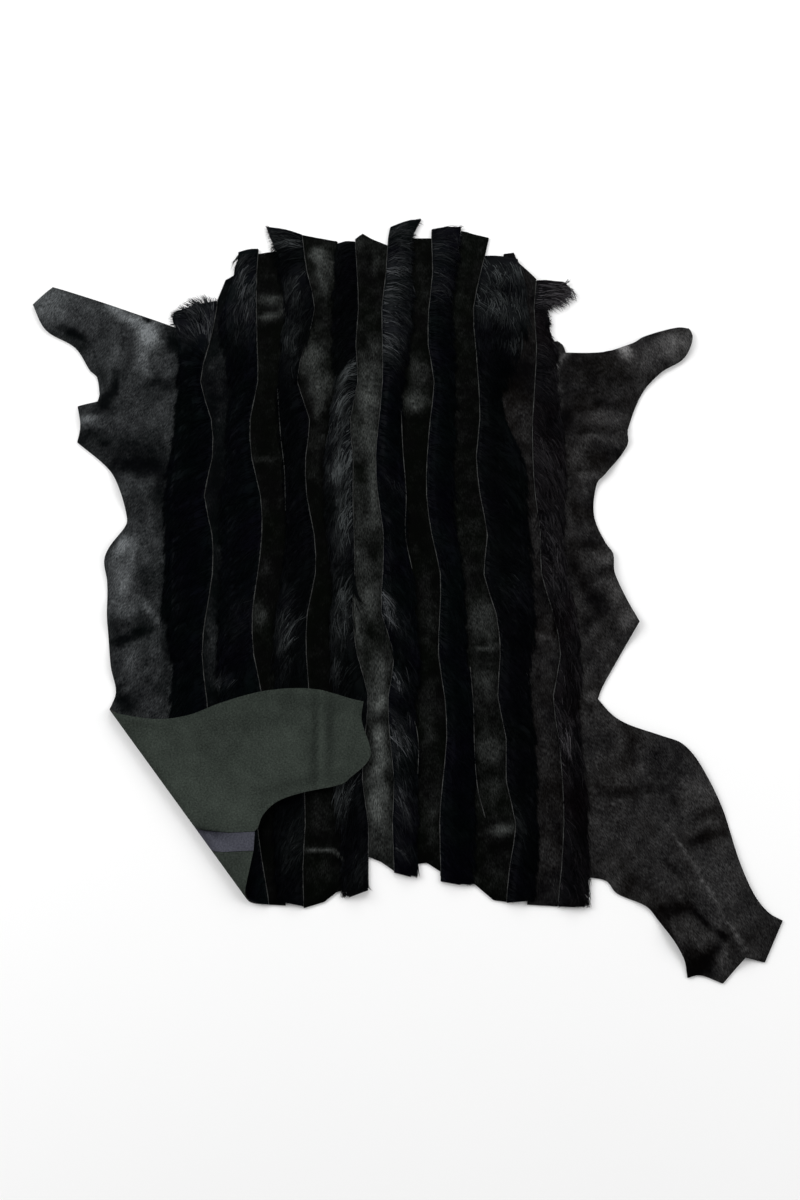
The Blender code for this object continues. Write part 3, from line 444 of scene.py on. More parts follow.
        (1.5, -14.2, 1.5, 1.1, 35, 0.56), (1.8, -21.0, 1.5, 3.6, 0, 0.36),
        (2.0, -28.5, 1.4, 2.8, 0, 0.28), (2.6, -33.8, 1.4, 1.0, -50, 0.26),
    ),
    "fur_6": (
        (7.2, 44.0, 2.2, 2.8, 0, 0.30), (6.6, 38.0, 1.6, 3.4, 0, 0.26),
        (6.8, 33.0, 1.3, 1.8, 0, 0.13), (7.4, 3.0, 1.3, 2.0, 0, 0.09),
    ),
    # Painted highlights on two raised folds near the neck, painted shade in the crease between them
    "fur_7": (
        (14.6, 39.4, 4.2, 2.6, -8, 0.42), (14.4, 34.0, 4.2, 2.5, -8, 0.48),
        (15.4, 36.8, 3.4, 0.35, -6, 0.08), (16.0, 29.3, 2.8, 0.8, 4, 0.34),
        (13.6, 24.5, 2.6, 4.6, 0, 0.02), (15.6, -2.4, 1.5, 2.8, 0, 0.18),
        (15.2, -31.0, 0.9, 2.6, 0, 0.20),
    ),
    "fur_8": (
        (22.6, 37.2, 3.4, 2.8, 0, 0.52), (19.7, 32.5, 1.0, 2.6, 0, 0.15),
        (20.0, 20.5, 1.4, 3.4, 0, 0.12), (20.2, 12.0, 1.6, 4.0, 0, 0.23),
        (20.2, 1.0, 1.5, 5.0, 0, 0.28), (21.6, -10.0, 1.5, 4.2, 0, 0.17),
        (20.9, -21.5, 1.3, 0.4, -65, 0.56), (20.8, -25.0, 1.2, 0.4, -60, 0.50),
        (22.3, -31.0, 1.0, 8.0, 0, 0.06), (21.8, -27.6, 1.1, 1.2, 0, 0.03),
        (21.6, -36.0, 1.6, 2.8, 0, 0.12),
    ),
    # The suede's own stains, with painted shade in the two sagging troughs and a painted highlight
    # between them
    "flap": (
        (-25.0, -21.5, 5.0, 2.4, -52, 0.63), (-28.5, -18.6, 3.0, 0.5, -10, 0.54),
        (-20.5, -22.0, 0.8, 4.0, 30, 0.55), (-17.0, -18.6, 4.0, 1.6, 8, 0.54),
        (-12.5, -22.0, 2.6, 2.6, 0, 0.66), (-15.5, -25.0, 3.0, 0.5, -35, 0.68),
        (-22.0, -26.0, 3.0, 3.0, 0, 0.66), (-17.5, -28.5, 3.0, 2.0, -30, 0.69),
        (-8.0, -16.2, 5.0, 1.2, -6, 0.51), (-9.5, -25.2, 5.0, 0.7, 14, 0.52),
        (-4.2, -21.0, 1.4, 3.0, 0, 0.60), (-8.3, -19.6, 0.34, 5.4, 0, 0.44),
        (-7.6, -19.6, 0.28, 5.0, 0, 0.68), (-6.5, -19.8, 0.44, 5.2, 0, 0.46),
        (-20.0, -31.0, 1.9, 0.25, -10, 0.36),
    ),
}
TONE_AND_PAINTED_LIGHT_PATCHES = {name: [ToneAndPaintedLightPatch(*row) for row in rows] for name, rows in TONE_AND_PAINTED_LIGHT_ROWS.items()}


def metres(points: Sequence[Point]) -> list[Point]:
    """Turns points in centimetres into metres."""
    return [(x * CM, y * CM) for x, y in points]


def smooth_step(share: Array | float) -> Array:
    """Eases a share from 0 to 1 with level ends."""
    share = np.clip(share, 0.0, 1.0)
    return share * share * (3.0 - 2.0 * share)


def curve(start: Array, end: Array, slopes: tuple[Array, Array], share: Array | float) -> Array:
    """Follows a cubic from one point to the next.

    Args:
        start: Where it starts.
        end: Where it ends.
        slopes: Its slopes there.
        share: How far along it the points wanted lie, from 0 to 1.

    Returns:
        The points.
    """
    first, last = slopes
    a = 2 * start - 2 * end + first + last
    b = 3 * (end - start) - 2 * first - last
    return ((a * share + b) * share + first) * share + start


def segment_distance(x: Array, y: Array, ends: tuple[float, float, float, float]) -> Array:
    """Finds how far points lie from a straight segment.

    Args:
        x: The points' first coordinates.
        y: The points' second coordinates.
        ends: The segment's two ends as x0, y0, x1, y1, in the same unit.

    Returns:
        One distance for each point.
    """
    x0, y0, x1, y1 = ends
    run_x = x1 - x0
    run_y = y1 - y0
    share = ((x - x0) * run_x + (y - y0) * run_y) / (run_x**2 + run_y**2)
    share = np.clip(share, 0.0, 1.0)
    return np.hypot(x - x0 - share * run_x, y - y0 - share * run_y)


def ripple(x: Array, y: Array, size: float, seed: int) -> Array:
    """Sums a few slanted waves into an even, irregular unevenness.

    Args:
        x: The points' first coordinates, in metres.
        y: The points' second coordinates, in metres.
        size: The length of the longest wave, in metres.
        seed: The number that sets the waves' directions.

    Returns:
        A value from about -1 to 1 for each point.
    """
    waves = 7
    usual_peak = 2.4
    rng = np.random.default_rng(seed)
    total = np.zeros_like(x)
    for k in range(waves):
        turn, phase = rng.uniform(0, 2 * math.pi, 2)
        pace = 2 * math.pi / size * (1.0 + 0.45 * k)
        total += np.sin(pace * (x * math.cos(turn) + y * math.sin(turn)) + phase) / (1 + 0.5 * k)
    return total / usual_peak


def tone_with_painted_light_at(name: str, x: Array, y: Array, base: float, uneven: float = 1.0) -> Array:
    """Works out how light a coat is, with the painted sheen, highlights and shade of its patches.

    Args:
        name: The piece's name, which picks its patches.
        x: Where the points lie, in metres.
        y: Where the points lie, in metres.
        base: The tone of the coat away from its patches.
        uneven: How much of the common unevenness the piece shows.

    Returns:
        One tone for each point, from 0 for the darkest hair to TOP_TONE for the lightest.
    """
    broad = 5 * CM
    small = 1.3 * CM
    tone = base * (1.0 + 0.30 * uneven * ripple(x, y, 4.5 * CM, 5))
    warp_x = 0.40 * ripple(x, y, broad, 3) + 0.16 * ripple(x, y, small, 7)
    warp_y = 0.40 * ripple(x, y, broad, 4) + 0.16 * ripple(x, y, small, 8)
    for patch in TONE_AND_PAINTED_LIGHT_PATCHES.get(name, ()):
        turn = math.radians(patch.turn)
        wander = min(1.0, 1.2 * min(patch.along, patch.across)) * uneven
        dx = x / CM + wander * warp_x - patch.x
        dy = y / CM + wander * warp_y - patch.y
        u = (dx * math.cos(turn) + dy * math.sin(turn)) / patch.along
        v = (dy * math.cos(turn) - dx * math.sin(turn)) / patch.across
        tone += (patch.tone - tone) * np.exp(-np.hypot(u, v) ** 2.3)
    tone += uneven * (0.034 * ripple(x, y, 3.2 * CM, 6) + 0.026 * ripple(x, y, small, 9))
    return np.clip(tone, 0.0, TOP_TONE)


def with_folds(height: Array, x: Array, y: Array, folds: Sequence[Ridge]) -> Array:
    """Adds soft folds to a height.

    Args:
        height: The height that the folds stand on, in metres.
        x: Flat places, in metres.
        y: Flat places, in metres.
        folds: The folds.

    Returns:
        One height for each point.
    """
    for fold in folds:
        away = segment_distance(x / CM, y / CM, (fold.x0, fold.y0, fold.x1, fold.y1))
        height = height + fold.high_mm * MM * smooth_step(1.0 - away / (2 * fold.half_cm))
    return height


@dataclass(frozen=True)
class Lay:
    """How the flat pattern lies: soft folds in the body, and the leg turned over a slanting fold."""

    start: Point = (-32.2 * CM, -16.8 * CM)
    end: Point = (-15.6 * CM, -38.7 * CM)
    radius: float = 7.5 * MM
    drop: float = 4.6 * MM
    drop_length: float = 16.0 * CM
    sag: float = 1.0 * MM
    sag_width: float = 0.9 * CM
    sag_lines: Point = (-8.3 * CM, -6.6 * CM)
    press_margin: float = 1.8 * CM
    wave: float = 0.5 * MM

    @property
    def inward(self) -> Point:
        """The unit vector from the fold's seen edge towards the hide."""
        run = math.dist(self.start, self.end)
        return (self.start[1] - self.end[1]) / run, (self.end[0] - self.start[0]) / run

    @property
    def bend(self) -> float:
        """The length of the half turn round the fold."""
        return math.pi * self.radius

    def beyond(self, x: Array, y: Array) -> Array:
        """Gives how far flat points lie outside the line where the bend begins."""
        nx, ny = self.inward
        from_x = self.start[0] + self.radius * nx - x
        from_y = self.start[1] + self.radius * ny - y
        return from_x * nx + from_y * ny

    def unfolded(self, x: float, y: float) -> Point:
        """Gives the flat place of a point of the turned-over leg as it lies."""
        nx, ny = self.inward
        inside = -float(self.beyond(np.array(x), np.array(y)))
        if inside >= 0:
            along = self.bend + inside
        else:
            along = self.radius * (math.pi - math.asin(min(-inside / self.radius, 1.0)))
        return x - (inside + along) * nx, y - (inside + along) * ny

    def under_flap(self, x: Array, y: Array) -> Array:
        """Gives 1 under the folded leg, falling to 0 a little way outside it.

        Args:
            x: Flat places, in metres.
            y: Flat places, in metres.

        Returns:
            One share for each point.
        """
        outline = metres(LEG_EDGE + LEG_TAIL)
        inside = np.zeros(x.shape, bool)
        nearest = np.full(x.shape, self.press_margin)
        for (x0, y0), (x1, y1) in zip(outline, outline[1:] + outline[:1]):
            nearest = np.minimum(nearest, segment_distance(x, y, (x0, y0, x1, y1)))
            crosses = (y0 > y) != (y1 > y)
            inside ^= crosses & (x < x0 + (y - y0) / (y1 - y0 + 1e-12) * (x1 - x0))
        near = smooth_step(1.0 - nearest / self.press_margin)
        return np.where(inside | (self.beyond(x, y) > 0), 1.0, near)

    def lift(self, x: Array, y: Array) -> Array:
        """Gives the height of the flesh side over the surface, where soft folds stand off it."""
        return with_folds(np.zeros(x.shape), x, y, RIDGES) * (1.0 - self.under_flap(x, y))

    def relief(self, x: Array, y: Array) -> Array:
        """Gives the small creases and the unevenness of the upper side."""
        even = 0.28 * MM * ripple(x, y, 6 * CM, 11) + 0.14 * MM * ripple(x, y, 1.8 * CM, 12)
        return with_folds(even, x, y, CREASES) * (1.0 - self.under_flap(x, y))

    def flap_height(self, x: Array, y: Array, along: Array) -> Array:
        """Gives the height of the flap's flesh side, highest by the bend.

        Args:
            x: Where the points lie, in metres.
            y: Where the points lie, in metres.
            along: How far they lie inside the end of the bend.

        Returns:
            One height for each point.
        """
        out = smooth_step(along / self.drop_length)
        height = 2 * self.radius - self.drop * out
        for line in self.sag_lines:
            height -= self.sag * smooth_step(1.0 - np.abs(x - line) / self.sag_width) * out
        return height + self.wave * ripple(x, y, 7 * CM, 21) * smooth_step(along / (3 * CM))

    def place(self, x: Array, y: Array, height: Array) -> Array:
        """Moves points of the flat pattern to where they lie.

        Args:
            x: Flat places, in metres.
            y: Flat places, in metres.
            height: The points' height over the flesh side.

        Returns:
            The points, one row each.
        """
        nx, ny = self.inward
        beyond = self.beyond(x, y)
        over = np.maximum(beyond, 0.0)
        angle = np.clip(over / self.radius, 0.0, math.pi)
        turning = over < self.bend
        out = np.where(turning, (self.radius - height) * np.sin(angle), self.bend - over)
        out = np.where(beyond <= 0, 0.0, out)
        lying_x = x + (over - out) * nx
        lying_y = y + (over - out) * ny
        flap = self.flap_height(lying_x, lying_y, -out) - height
        round_it = self.radius - (self.radius - height) * np.cos(angle)
        body = self.lift(x, y) + height
        z = np.where(beyond <= 0, body, np.where(turning, round_it, flap))
        return np.stack([lying_x, lying_y, z], axis=-1)


LAY = Lay()


@dataclass(frozen=True)
class SeamChart:
    """The strips' lines on the flat pattern, straight from station to station as in the frame."""

    neck: float = 50.0 * CM
    tail: float = -42.5 * CM
    step: float = 2.5 * CM

    @property
    def stations(self) -> Array:
        """The heights at which the lines are charted, from the neck down."""
        return np.arange(self.neck, self.tail, -self.step)

    def charted(self, table: Sequence[Lines], strip: str) -> Array:
        """Draws a smooth curve through a strip's rows of a table, read at each station."""
        ys = np.array([row.y * CM for row in table])
        xs = np.array([getattr(row, strip) * CM for row in table])
        y = self.stations
        k = np.clip(np.searchsorted(-ys, -y, side="right") - 1, 0, len(ys) - 2)
        share = (y - ys[k]) / (ys[k + 1] - ys[k])
        first = (xs[k + 1] - xs[np.maximum(k - 1, 0)]) / 2
        last = (xs[np.minimum(k + 2, len(xs) - 1)] - xs[k]) / 2
        return curve(xs[k], xs[k + 1], (first, last), share)

    def read(self, line: Array, y: Array) -> Array:
        """Reads a charted line at any height."""
        return np.interp(y, self.stations[::-1], line[::-1])


CHART = SeamChart()


@dataclass(frozen=True)
class StripShape:
    """The lines and sizes of one fur strip.

    ends are the heights of its neck and tail ends, beside the seam and under the hair, flare the
    widths that its base gains at some heights, tuft the height, reach and half width of a lock that
    stands out, and crown a line that the hair of the neck end doesn't pass, all in centimetres.
    """

    name: str
    lie: Lie
    base_cm: float
    hair_mm: float
    ends: tuple[float, float, float, float]
    lean: tuple[Lean, ...]
    flare: tuple[Point, ...] = ((0.0, 0.0),)
    tuft: tuple[float, float, float] | None = None
    crown: tuple[Point, ...] = ()
    tone: float = 0.03
    past_base: float = 2.5 * MM

    def seam(self, y: Array) -> Array:
        """Gives the line where the hair starts."""
        return CHART.read(CHART.charted(SEAMS, self.name), y)

    def outer(self, y: Array) -> Array:
        """Gives the other edge of the leather base."""
        stations = CHART.stations
        heights, wider = zip(*self.flare)
        order = np.argsort(heights)
        wider_m = np.interp(stations, np.array(heights)[order] * CM, np.array(wider)[order] * CM)
        line = CHART.charted(SEAMS, self.name) + self.lie.value * (self.base_cm * CM + wider_m)
        return CHART.read(line, y)

    def rim(self, y: Array) -> Array:
        """Gives the line where the hair ends, with the strip's single tuft."""
        line = CHART.read(CHART.charted(RIMS, self.name), y)
        if self.tuft:
            height, reach, half = (value * CM for value in self.tuft)
            line = line + self.lie.value * reach * smooth_step(1.0 - np.abs(y - height) / half)
        side = self.lie.value
        return side * np.maximum(side * line, side * self.outer(y) + self.past_base)

    def left(self, y: Array) -> Array:
        """Gives the left edge of the base."""
        return self.outer(y) if self.lie is Lie.LEFT else self.seam(y)

    def right(self, y: Array) -> Array:
        """Gives the right edge of the base."""
        return self.seam(y) if self.lie is Lie.LEFT else self.outer(y)

    def turn(self, y: Array, share: Array) -> Array:
        """Gives the lean of the hair, in radians, at a height and a share of the way to the rim."""
        rows = sorted(self.lean, key=lambda row: row.y)
        heights = [row.y * CM for row in rows]
        degrees = np.interp(y, heights, [row.degrees for row in rows])
        return np.radians(degrees + share * np.interp(y, heights, [row.fan for row in rows]))

    def neck_limit(self, x: Array, share: Array) -> Array:
        """Gives the height that hair at the neck end doesn't pass."""
        if self.crown:
            xs, ys = zip(*sorted(self.crown))
            return np.interp(x, np.array(xs) * CM, np.array(ys) * CM)
        return (self.ends[0] + (self.ends[1] - self.ends[0]) * share) * CM

    def tail_limit(self, share: Array) -> Array:
        """Gives the height that hair at the tail end doesn't pass."""
        return (self.ends[2] + (self.ends[3] - self.ends[2]) * share) * CM


STRIPS = {
    shape.name: shape
    for shape in (
        StripShape(
            "fur_1", Lie.LEFT, 2.3, 9.5, (36.1, 34.3, -38.3, -37.8),
            (Lean(37, -86, 56), Lean(29.5, -80, 52), Lean(27, 8), Lean(20, 40), Lean(-38, 50)),
            tuft=(33.5, 0.6, 2.0), tone=0.02,
            crown=((-27.6, 33.4), (-26.6, 35.0), (-25.2, 36.0), (-23.5, 36.8), (-21.6, 36.4)),
        ),
        StripShape(
            "fur_2", Lie.LEFT, 2.5, 9.0, (43.4, 42.8, -39.1, -38.9),
            (Lean(43, 20), Lean(40, 62), Lean(31, 72), Lean(27, 42), Lean(0, 42), Lean(-38, 52)),
            tone=0.04,
        ),
        StripShape(
            "fur_3", Lie.LEFT, 2.0, 8.5, (45.4, 46.6, -39.3, -38.8),
            (
                Lean(47, -38), Lean(43, 5), Lean(39, 66), Lean(28, 72), Lean(22, 42), Lean(-2, 45),
                Lean(-8, 66), Lean(-38, 54),
            ),
            flare=((38, 0.0), (43, 1.4), (47, 2.8)), tone=0.04,
        ),
        StripShape(
            "fur_4", Lie.LEFT, 2.2, 11.0, (44.4, 43.9, -37.5, -38.3),
            (Lean(44, 40), Lean(28, 34), Lean(25, 40), Lean(21, 62), Lean(0, 70), Lean(-38, 60)),
            tone=0.08,
        ),
        StripShape(
            "fur_5", Lie.RIGHT, 2.0, 10.5, (46.5, 47.7, -35.5, -36.0),
            (Lean(47, -34), Lean(43, 2), Lean(38, 12), Lean(26, 22), Lean(10, 48), Lean(-35, 58)),
            flare=((40, 0.0), (45, 0.9), (48, 1.9)), tone=0.05,
        ),
        StripShape(
            "fur_6", Lie.RIGHT, 2.3, 8.5, (46.2, 46.5, -36.5, -36.9),
            (Lean(47, -20), Lean(43, 12), Lean(25, 32), Lean(0, 44), Lean(-36, 52)),
            flare=((38, 0.0), (44, 1.2), (47, 1.5)), tone=0.03,
        ),
        StripShape(
            "fur_7", Lie.RIGHT, 2.3, 9.5, (42.4, 41.8, -38.9, -38.7),
            (Lean(42, 66), Lean(31, 76), Lean(27, 46), Lean(0, 46), Lean(-38, 52)),
            tone=0.04,
        ),
        StripShape(
            "fur_8", Lie.RIGHT, 2.0, 9.0, (38.7, 38.7, -39.3, -39.4),
            (Lean(39, -14), Lean(36, 4), Lean(31, 22), Lean(20, 52), Lean(0, 66), Lean(-39, 64)),
            flare=((29, 0.0), (33, -0.6), (37, -0.2)), tuft=(37.1, 2.9, 2.8), tone=0.17,
            crown=((18.8, 38.7), (21.0, 39.1), (23.6, 39.6), (24.9, 38.6)),
        ),
    )
}


def opaque(colour: Colour) -> tuple[float, float, float, float]:
    """Adds a full alpha to a colour."""
    return (*colour, 1.0)


class NodeMaker:
    """Adds nodes to a tree and joins them, in few words."""

    TINT_SCALE = 17.0
    TINT_CONTRAST = 4.0

    def __init__(self, tree: bpy.types.NodeTree) -> None:
        """Keeps the tree that the nodes go in."""
        self.tree = tree

    def fill(self, node: bpy.types.Node, inputs: dict) -> None:
        """Gives a node's sockets their values, or joins other nodes' outputs to them."""
        for socket, value in inputs.items():
            if isinstance(value, bpy.types.NodeSocket):
                self.tree.links.new(value, node.inputs[socket])
            else:
                node.inputs[socket].default_value = value

    def add(self, kind: str, *, inputs: dict | None = None, **settings: object) -> bpy.types.Node:
        """Adds a node.

        Args:
            kind: The node's type name.
            inputs: Values for its sockets, or other nodes' outputs to join to them.
            settings: The node's own settings.

        Returns:
            The node.
        """
        node = self.tree.nodes.new(kind)
        for name, value in settings.items():
            setattr(node, name, value)
        self.fill(node, inputs or {})
        return node

    def math(self, operation: str, a: object, b: object = 0.0) -> bpy.types.NodeSocket:
        """Adds a Math node and returns its output."""
        return self.add("ShaderNodeMath", operation=operation, inputs={0: a, 1: b}).outputs[0]

    def vector(self, operation: str, inputs: dict) -> bpy.types.NodeSocket:
        """Adds a Vector Math node and returns its output."""
        return self.add("ShaderNodeVectorMath", operation=operation, inputs=inputs).outputs[0]

    def mix(self, share: object, a: object, b: object) -> bpy.types.NodeSocket:
        """Adds a Mix node for two colours and returns its output."""
        node = self.add("ShaderNodeMix", data_type="RGBA", inputs={0: share, 6: a, 7: b})
        return node.outputs[2]

    def held(self, value: object) -> bpy.types.NodeSocket:
        """Keeps a value between 0 and 1."""
        return self.add("ShaderNodeClamp", inputs={"Value": value}).outputs[0]

    def swing(self, value: object, amount: float) -> bpy.types.NodeSocket:
        """Centres a value from 0 to 1 round zero, and scales it."""
        return self.math("MULTIPLY", self.math("SUBTRACT", value, 0.5), amount)

    def between(self, value: object, low: float, high: float) -> bpy.types.NodeSocket:
        """Spreads a value from 0 to 1 over another range."""
        inputs = {"Value": value, "To Min": low, "To Max": high}
        return self.add("ShaderNodeMapRange", inputs=inputs).outputs[0]

    def bump(self, height: object, distance: float, strength: float) -> bpy.types.NodeSocket:
        """Turns a height into the way that the surface faces."""
        inputs = {"Height": height, "Distance": distance, "Strength": strength}
        return self.add("ShaderNodeBump", inputs=inputs).outputs[0]

    def noise(self, **inputs: object) -> bpy.types.NodeSocket:
        """Adds a Noise Texture and returns its value."""
        return self.add("ShaderNodeTexNoise", inputs=inputs).outputs["Fac"]

    def group(self, name: str, **inputs: object) -> bpy.types.NodeOutputs:
        """Adds one of the scene's own groups and returns its outputs."""
        return self.add("ShaderNodeGroup", node_tree=GROUPS[name], inputs=inputs).outputs

    def place(self) -> bpy.types.NodeSocket:
        """Gives where a point is on the whole hide."""
        return self.add("ShaderNodeTexCoord").outputs["Object"]

    def nap(self) -> bpy.types.NodeSocket:
        """Gives where a point is on the flat piece, turned as its hair lies."""
        return self.add("ShaderNodeUVMap", uv_map="nap").outputs["UV"]

    def tone(self) -> bpy.types.NodeSocket:
        """Gives the piece's tone at a point, painted sheen and shade included."""
        return self.add("ShaderNodeAttribute", attribute_name="tone").outputs["Fac"]

    def tinted(self, dark: Colour, tint: Colour) -> bpy.types.NodeSocket:
        """Clouds one near-black with another over the whole hide, and returns the colour."""
        cloud = self.group(
            "mottle", Vector=self.place(), Scale=self.TINT_SCALE, Contrast=self.TINT_CONTRAST
        )
        return self.mix(self.held(cloud["Value"]), opaque(dark), opaque(tint))

    def shade(self, tone: object, dark: object, light: Colour) -> bpy.types.NodeSocket:
        """Turns an even-stepped tone into a colour between the darkest and the lightest one.

        Args:
            tone: The socket with the tone, 0 to TOP_TONE.
            dark: The colour at 0, as a value or a socket.
            light: The colour at 1.

        Returns:
            The colour's socket.
        """
        linear = self.math("POWER", self.held(self.math("DIVIDE", tone, TOP_TONE)), EYE_GAMMA)
        red, green, blue = (level * TOP_TONE**EYE_GAMMA for level in light)
        return self.mix(linear, dark, opaque((red, green, blue)))


def new_group(name: str, inputs: dict[str, tuple[str, float]], outputs: Sequence[str]) -> tuple:
    """Makes an empty shader node group.

    Args:
        name: The group's name.
        inputs: Each input's name with its socket kind, Float or Vector, and its value.
        outputs: The names of its outputs, each a value.

    Returns:
        The group, a node maker for it, and its input sockets and its output node.
    """
    group = bpy.data.node_groups.new(name, "ShaderNodeTree")
    for title, (kind, value) in inputs.items():
        socket = group.interface.new_socket(
            name=title, in_out="INPUT", socket_type=f"NodeSocket{kind}"
        )
        if kind == "Float":
            socket.default_value = value
    for title in outputs:
        group.interface.new_socket(name=title, in_out="OUTPUT", socket_type="NodeSocketFloat")
    make = NodeMaker(group)
    return group, make, make.add("NodeGroupInput").outputs, make.add("NodeGroupOutput")


def streaks_group() -> bpy.types.NodeTree:
    """Makes the fine streaks of lying hair, which run along the second coordinate."""
    inputs = {"Vector": ("Vector", 0.0), "Across": ("Float", 950.0), "Along": ("Float", 230.0)}
    group, make, given, out = new_group("hair_streaks", inputs, ("Value", "Clumps"))
    stretch = make.add("ShaderNodeCombineXYZ", inputs={0: given["Across"], 1: given["Along"]})
    bent = make.add(
        "ShaderNodeTexNoise", inputs={"Vector": given["Vector"], "Scale": 38.0, "Detail": 1.0}
    )
    sway = make.vector("SCALE", {0: bent.outputs["Color"], 3: 0.004})
    moved = make.vector("ADD", {0: given["Vector"], 1: sway})
    scaled = make.vector("MULTIPLY", {0: moved, 1: stretch.outputs[0]})
    fine = make.noise(Vector=scaled, Scale=1.0, Detail=3.0, Roughness=0.6)
    broad = make.noise(Vector=scaled, Scale=0.22, Detail=2.0, Roughness=0.5)
    make.fill(out, {"Value": fine, "Clumps": broad})
    return group


def mottle_group() -> bpy.types.NodeTree:
    """Makes soft cloudy differences, spread evenly round a half."""
    inputs = {"Vector": ("Vector", 0.0), "Scale": ("Float", 20.0), "Contrast": ("Float", 1.6)}
    group, make, given, out = new_group("soft_mottle", inputs, ("Value",))
    cloud = make.noise(Vector=given["Vector"], Scale=given["Scale"], Detail=4.0, Roughness=0.55)
    make.fill(out, {"Value": make.math("ADD", make.swing(cloud, given["Contrast"]), 0.5)})
    return group


def grain_group() -> bpy.types.NodeTree:
    """Makes the short nap and the pores of bare leather."""
    inputs = {"Vector": ("Vector", 0.0), "Scale": ("Float", 900.0)}
    group, make, given, out = new_group("leather_grain", inputs, ("Value", "Height"))
    nap = make.noise(Vector=given["Vector"], Scale=given["Scale"], Detail=3.0, Roughness=0.7)
    cell_scale = make.math("MULTIPLY", given["Scale"], 0.35)
    pores = make.add(
        "ShaderNodeTexVoronoi", inputs={"Vector": given["Vector"], "Scale": cell_scale}
    )
    deep = make.math("MULTIPLY", pores.outputs["Distance"], 0.6)
    make.fill(out, {"Value": nap, "Height": make.math("ADD", nap, deep)})
    return group


GROUPS = {
    "streaks": streaks_group(),
    "mottle": mottle_group(),
    "grain": grain_group(),
}


def begin_material(name: str) -> tuple[bpy.types.Material, NodeMaker, bpy.types.Node]:
    """Makes a material and returns it with a node maker and its Principled shader."""
    material = bpy.data.materials.new(name)
    material.use_nodes = True
    make = NodeMaker(material.node_tree)
    return material, make, material.node_tree.nodes["Principled BSDF"]


@dataclass(frozen=True)
class CoatFinish:
    """A short glossy coat: the colours of its darkest and lightest hair, and how it shines.

    cloudy, streaky and clumped are how much the tone swings in clouds, from hair to hair and from
    clump to clump. least is how strongly the streaks show on black, and growing how much stronger
    they are on lighter hair.
    """

    name: str
    dark: Colour
    tint: Colour
    light: Colour
    cloudy: float = 0.27
    streaky: float = 2.1
    clumped: float = 0.5
    least: float = 0.24
    growing: float = 0.75
    roughness: float = 0.52
    rough_swing: float = 0.12
    specular: float = 0.012
    bump_mm: float = 0.35

    def build(self) -> bpy.types.Material:
        """Builds the material from the piece's tone and the streaks of its hair."""
        material, make, shader = begin_material(self.name)
        nap = make.nap()
        streaks = make.group("streaks", Vector=nap)
        mottle = make.group("mottle", Vector=nap, Scale=60.0, Contrast=1.9)
        lit = make.math("ADD", make.tone(), make.swing(mottle["Value"], self.cloudy))
        hairs = make.swing(streaks["Value"], self.streaky)
        clumps = make.swing(streaks["Clumps"], self.clumped)
        strength = make.math("ADD", make.math("MULTIPLY", lit, self.growing), self.least)
        streaked = make.math("MULTIPLY", make.math("ADD", hairs, clumps), strength)
        share = make.math("ADD", lit, streaked)
        rough, swing = self.roughness, self.rough_swing
        height = make.math("ADD", streaks["Value"], streaks["Clumps"])
        inputs = {
            "Base Color": make.shade(share, make.tinted(self.dark, self.tint), self.light),
            "Roughness": make.between(streaks["Value"], rough + swing, rough - swing),
            "Normal": make.bump(height, self.bump_mm * MM, 0.9),
            "Specular IOR Level": self.specular,
        }
        make.fill(shader, inputs)
        return material


@dataclass(frozen=True)
class SuedeFinish:
    """Bare leather with a short nap, as on the flesh side and on cut edges.

    cloudy and fine are how much the tone swings in stains and in the nap.
    """

    name: str
    dark: Colour
    light: Colour
    cloudy: float = 0.13
    fine: float = 0.75
    roughness: float = 0.88
    rough_swing: float = 0.08
    specular: float = 0.03
    bump_mm: float = 0.25

    def build(self) -> bpy.types.Material:
        """Builds the material from the piece's tone, cloudy stains and a fine nap."""
        material, make, shader = begin_material(self.name)
        flat = make.nap()
        stains = make.group("mottle", Vector=flat, Scale=45.0, Contrast=1.8)
        grain = make.group("grain", Vector=flat, Scale=480.0)
        cloudy = make.swing(stains["Value"], self.cloudy)
        fine = make.swing(grain["Value"], self.fine)
        share = make.math("ADD", make.tone(), make.math("ADD", cloudy, fine))
        rough, swing = self.roughness, self.rough_swing
        inputs = {
            "Base Color": make.shade(share, opaque(self.dark), self.light),
            "Roughness": make.between(grain["Value"], rough - swing, rough + swing),
            "Normal": make.bump(grain["Height"], self.bump_mm * MM, 0.7),
            "Specular IOR Level": self.specular,
        }
        make.fill(shader, inputs)
        return material


@dataclass(frozen=True)
class HairFinish:
    """Long soft hair, from its darkest to its lightest strands, and how much its tone swings."""

    name: str
    dark: Colour
    tint: Colour
    light: Colour
    cloudy: float = 0.2
    roughness: Point = (0.38, 0.58)
    specular: float = 0.022

    def build(self) -> bpy.types.Material:
        """Builds the material from each hair's tone, painted sheen and shade included, and a fine
        mottle over the hide.
        """
        material, make, shader = begin_material(self.name)
        mottle = make.group("mottle", Vector=make.place(), Scale=160.0, Contrast=1.6)
        share = make.math("ADD", make.tone(), make.swing(mottle["Value"], self.cloudy))
        inputs = {
            "Base Color": make.shade(share, make.tinted(self.dark, self.tint), self.light),
            "Roughness": make.between(mottle["Value"], *self.roughness),
            "Specular IOR Level": self.specular,
        }
        make.fill(shader, inputs)
        return material


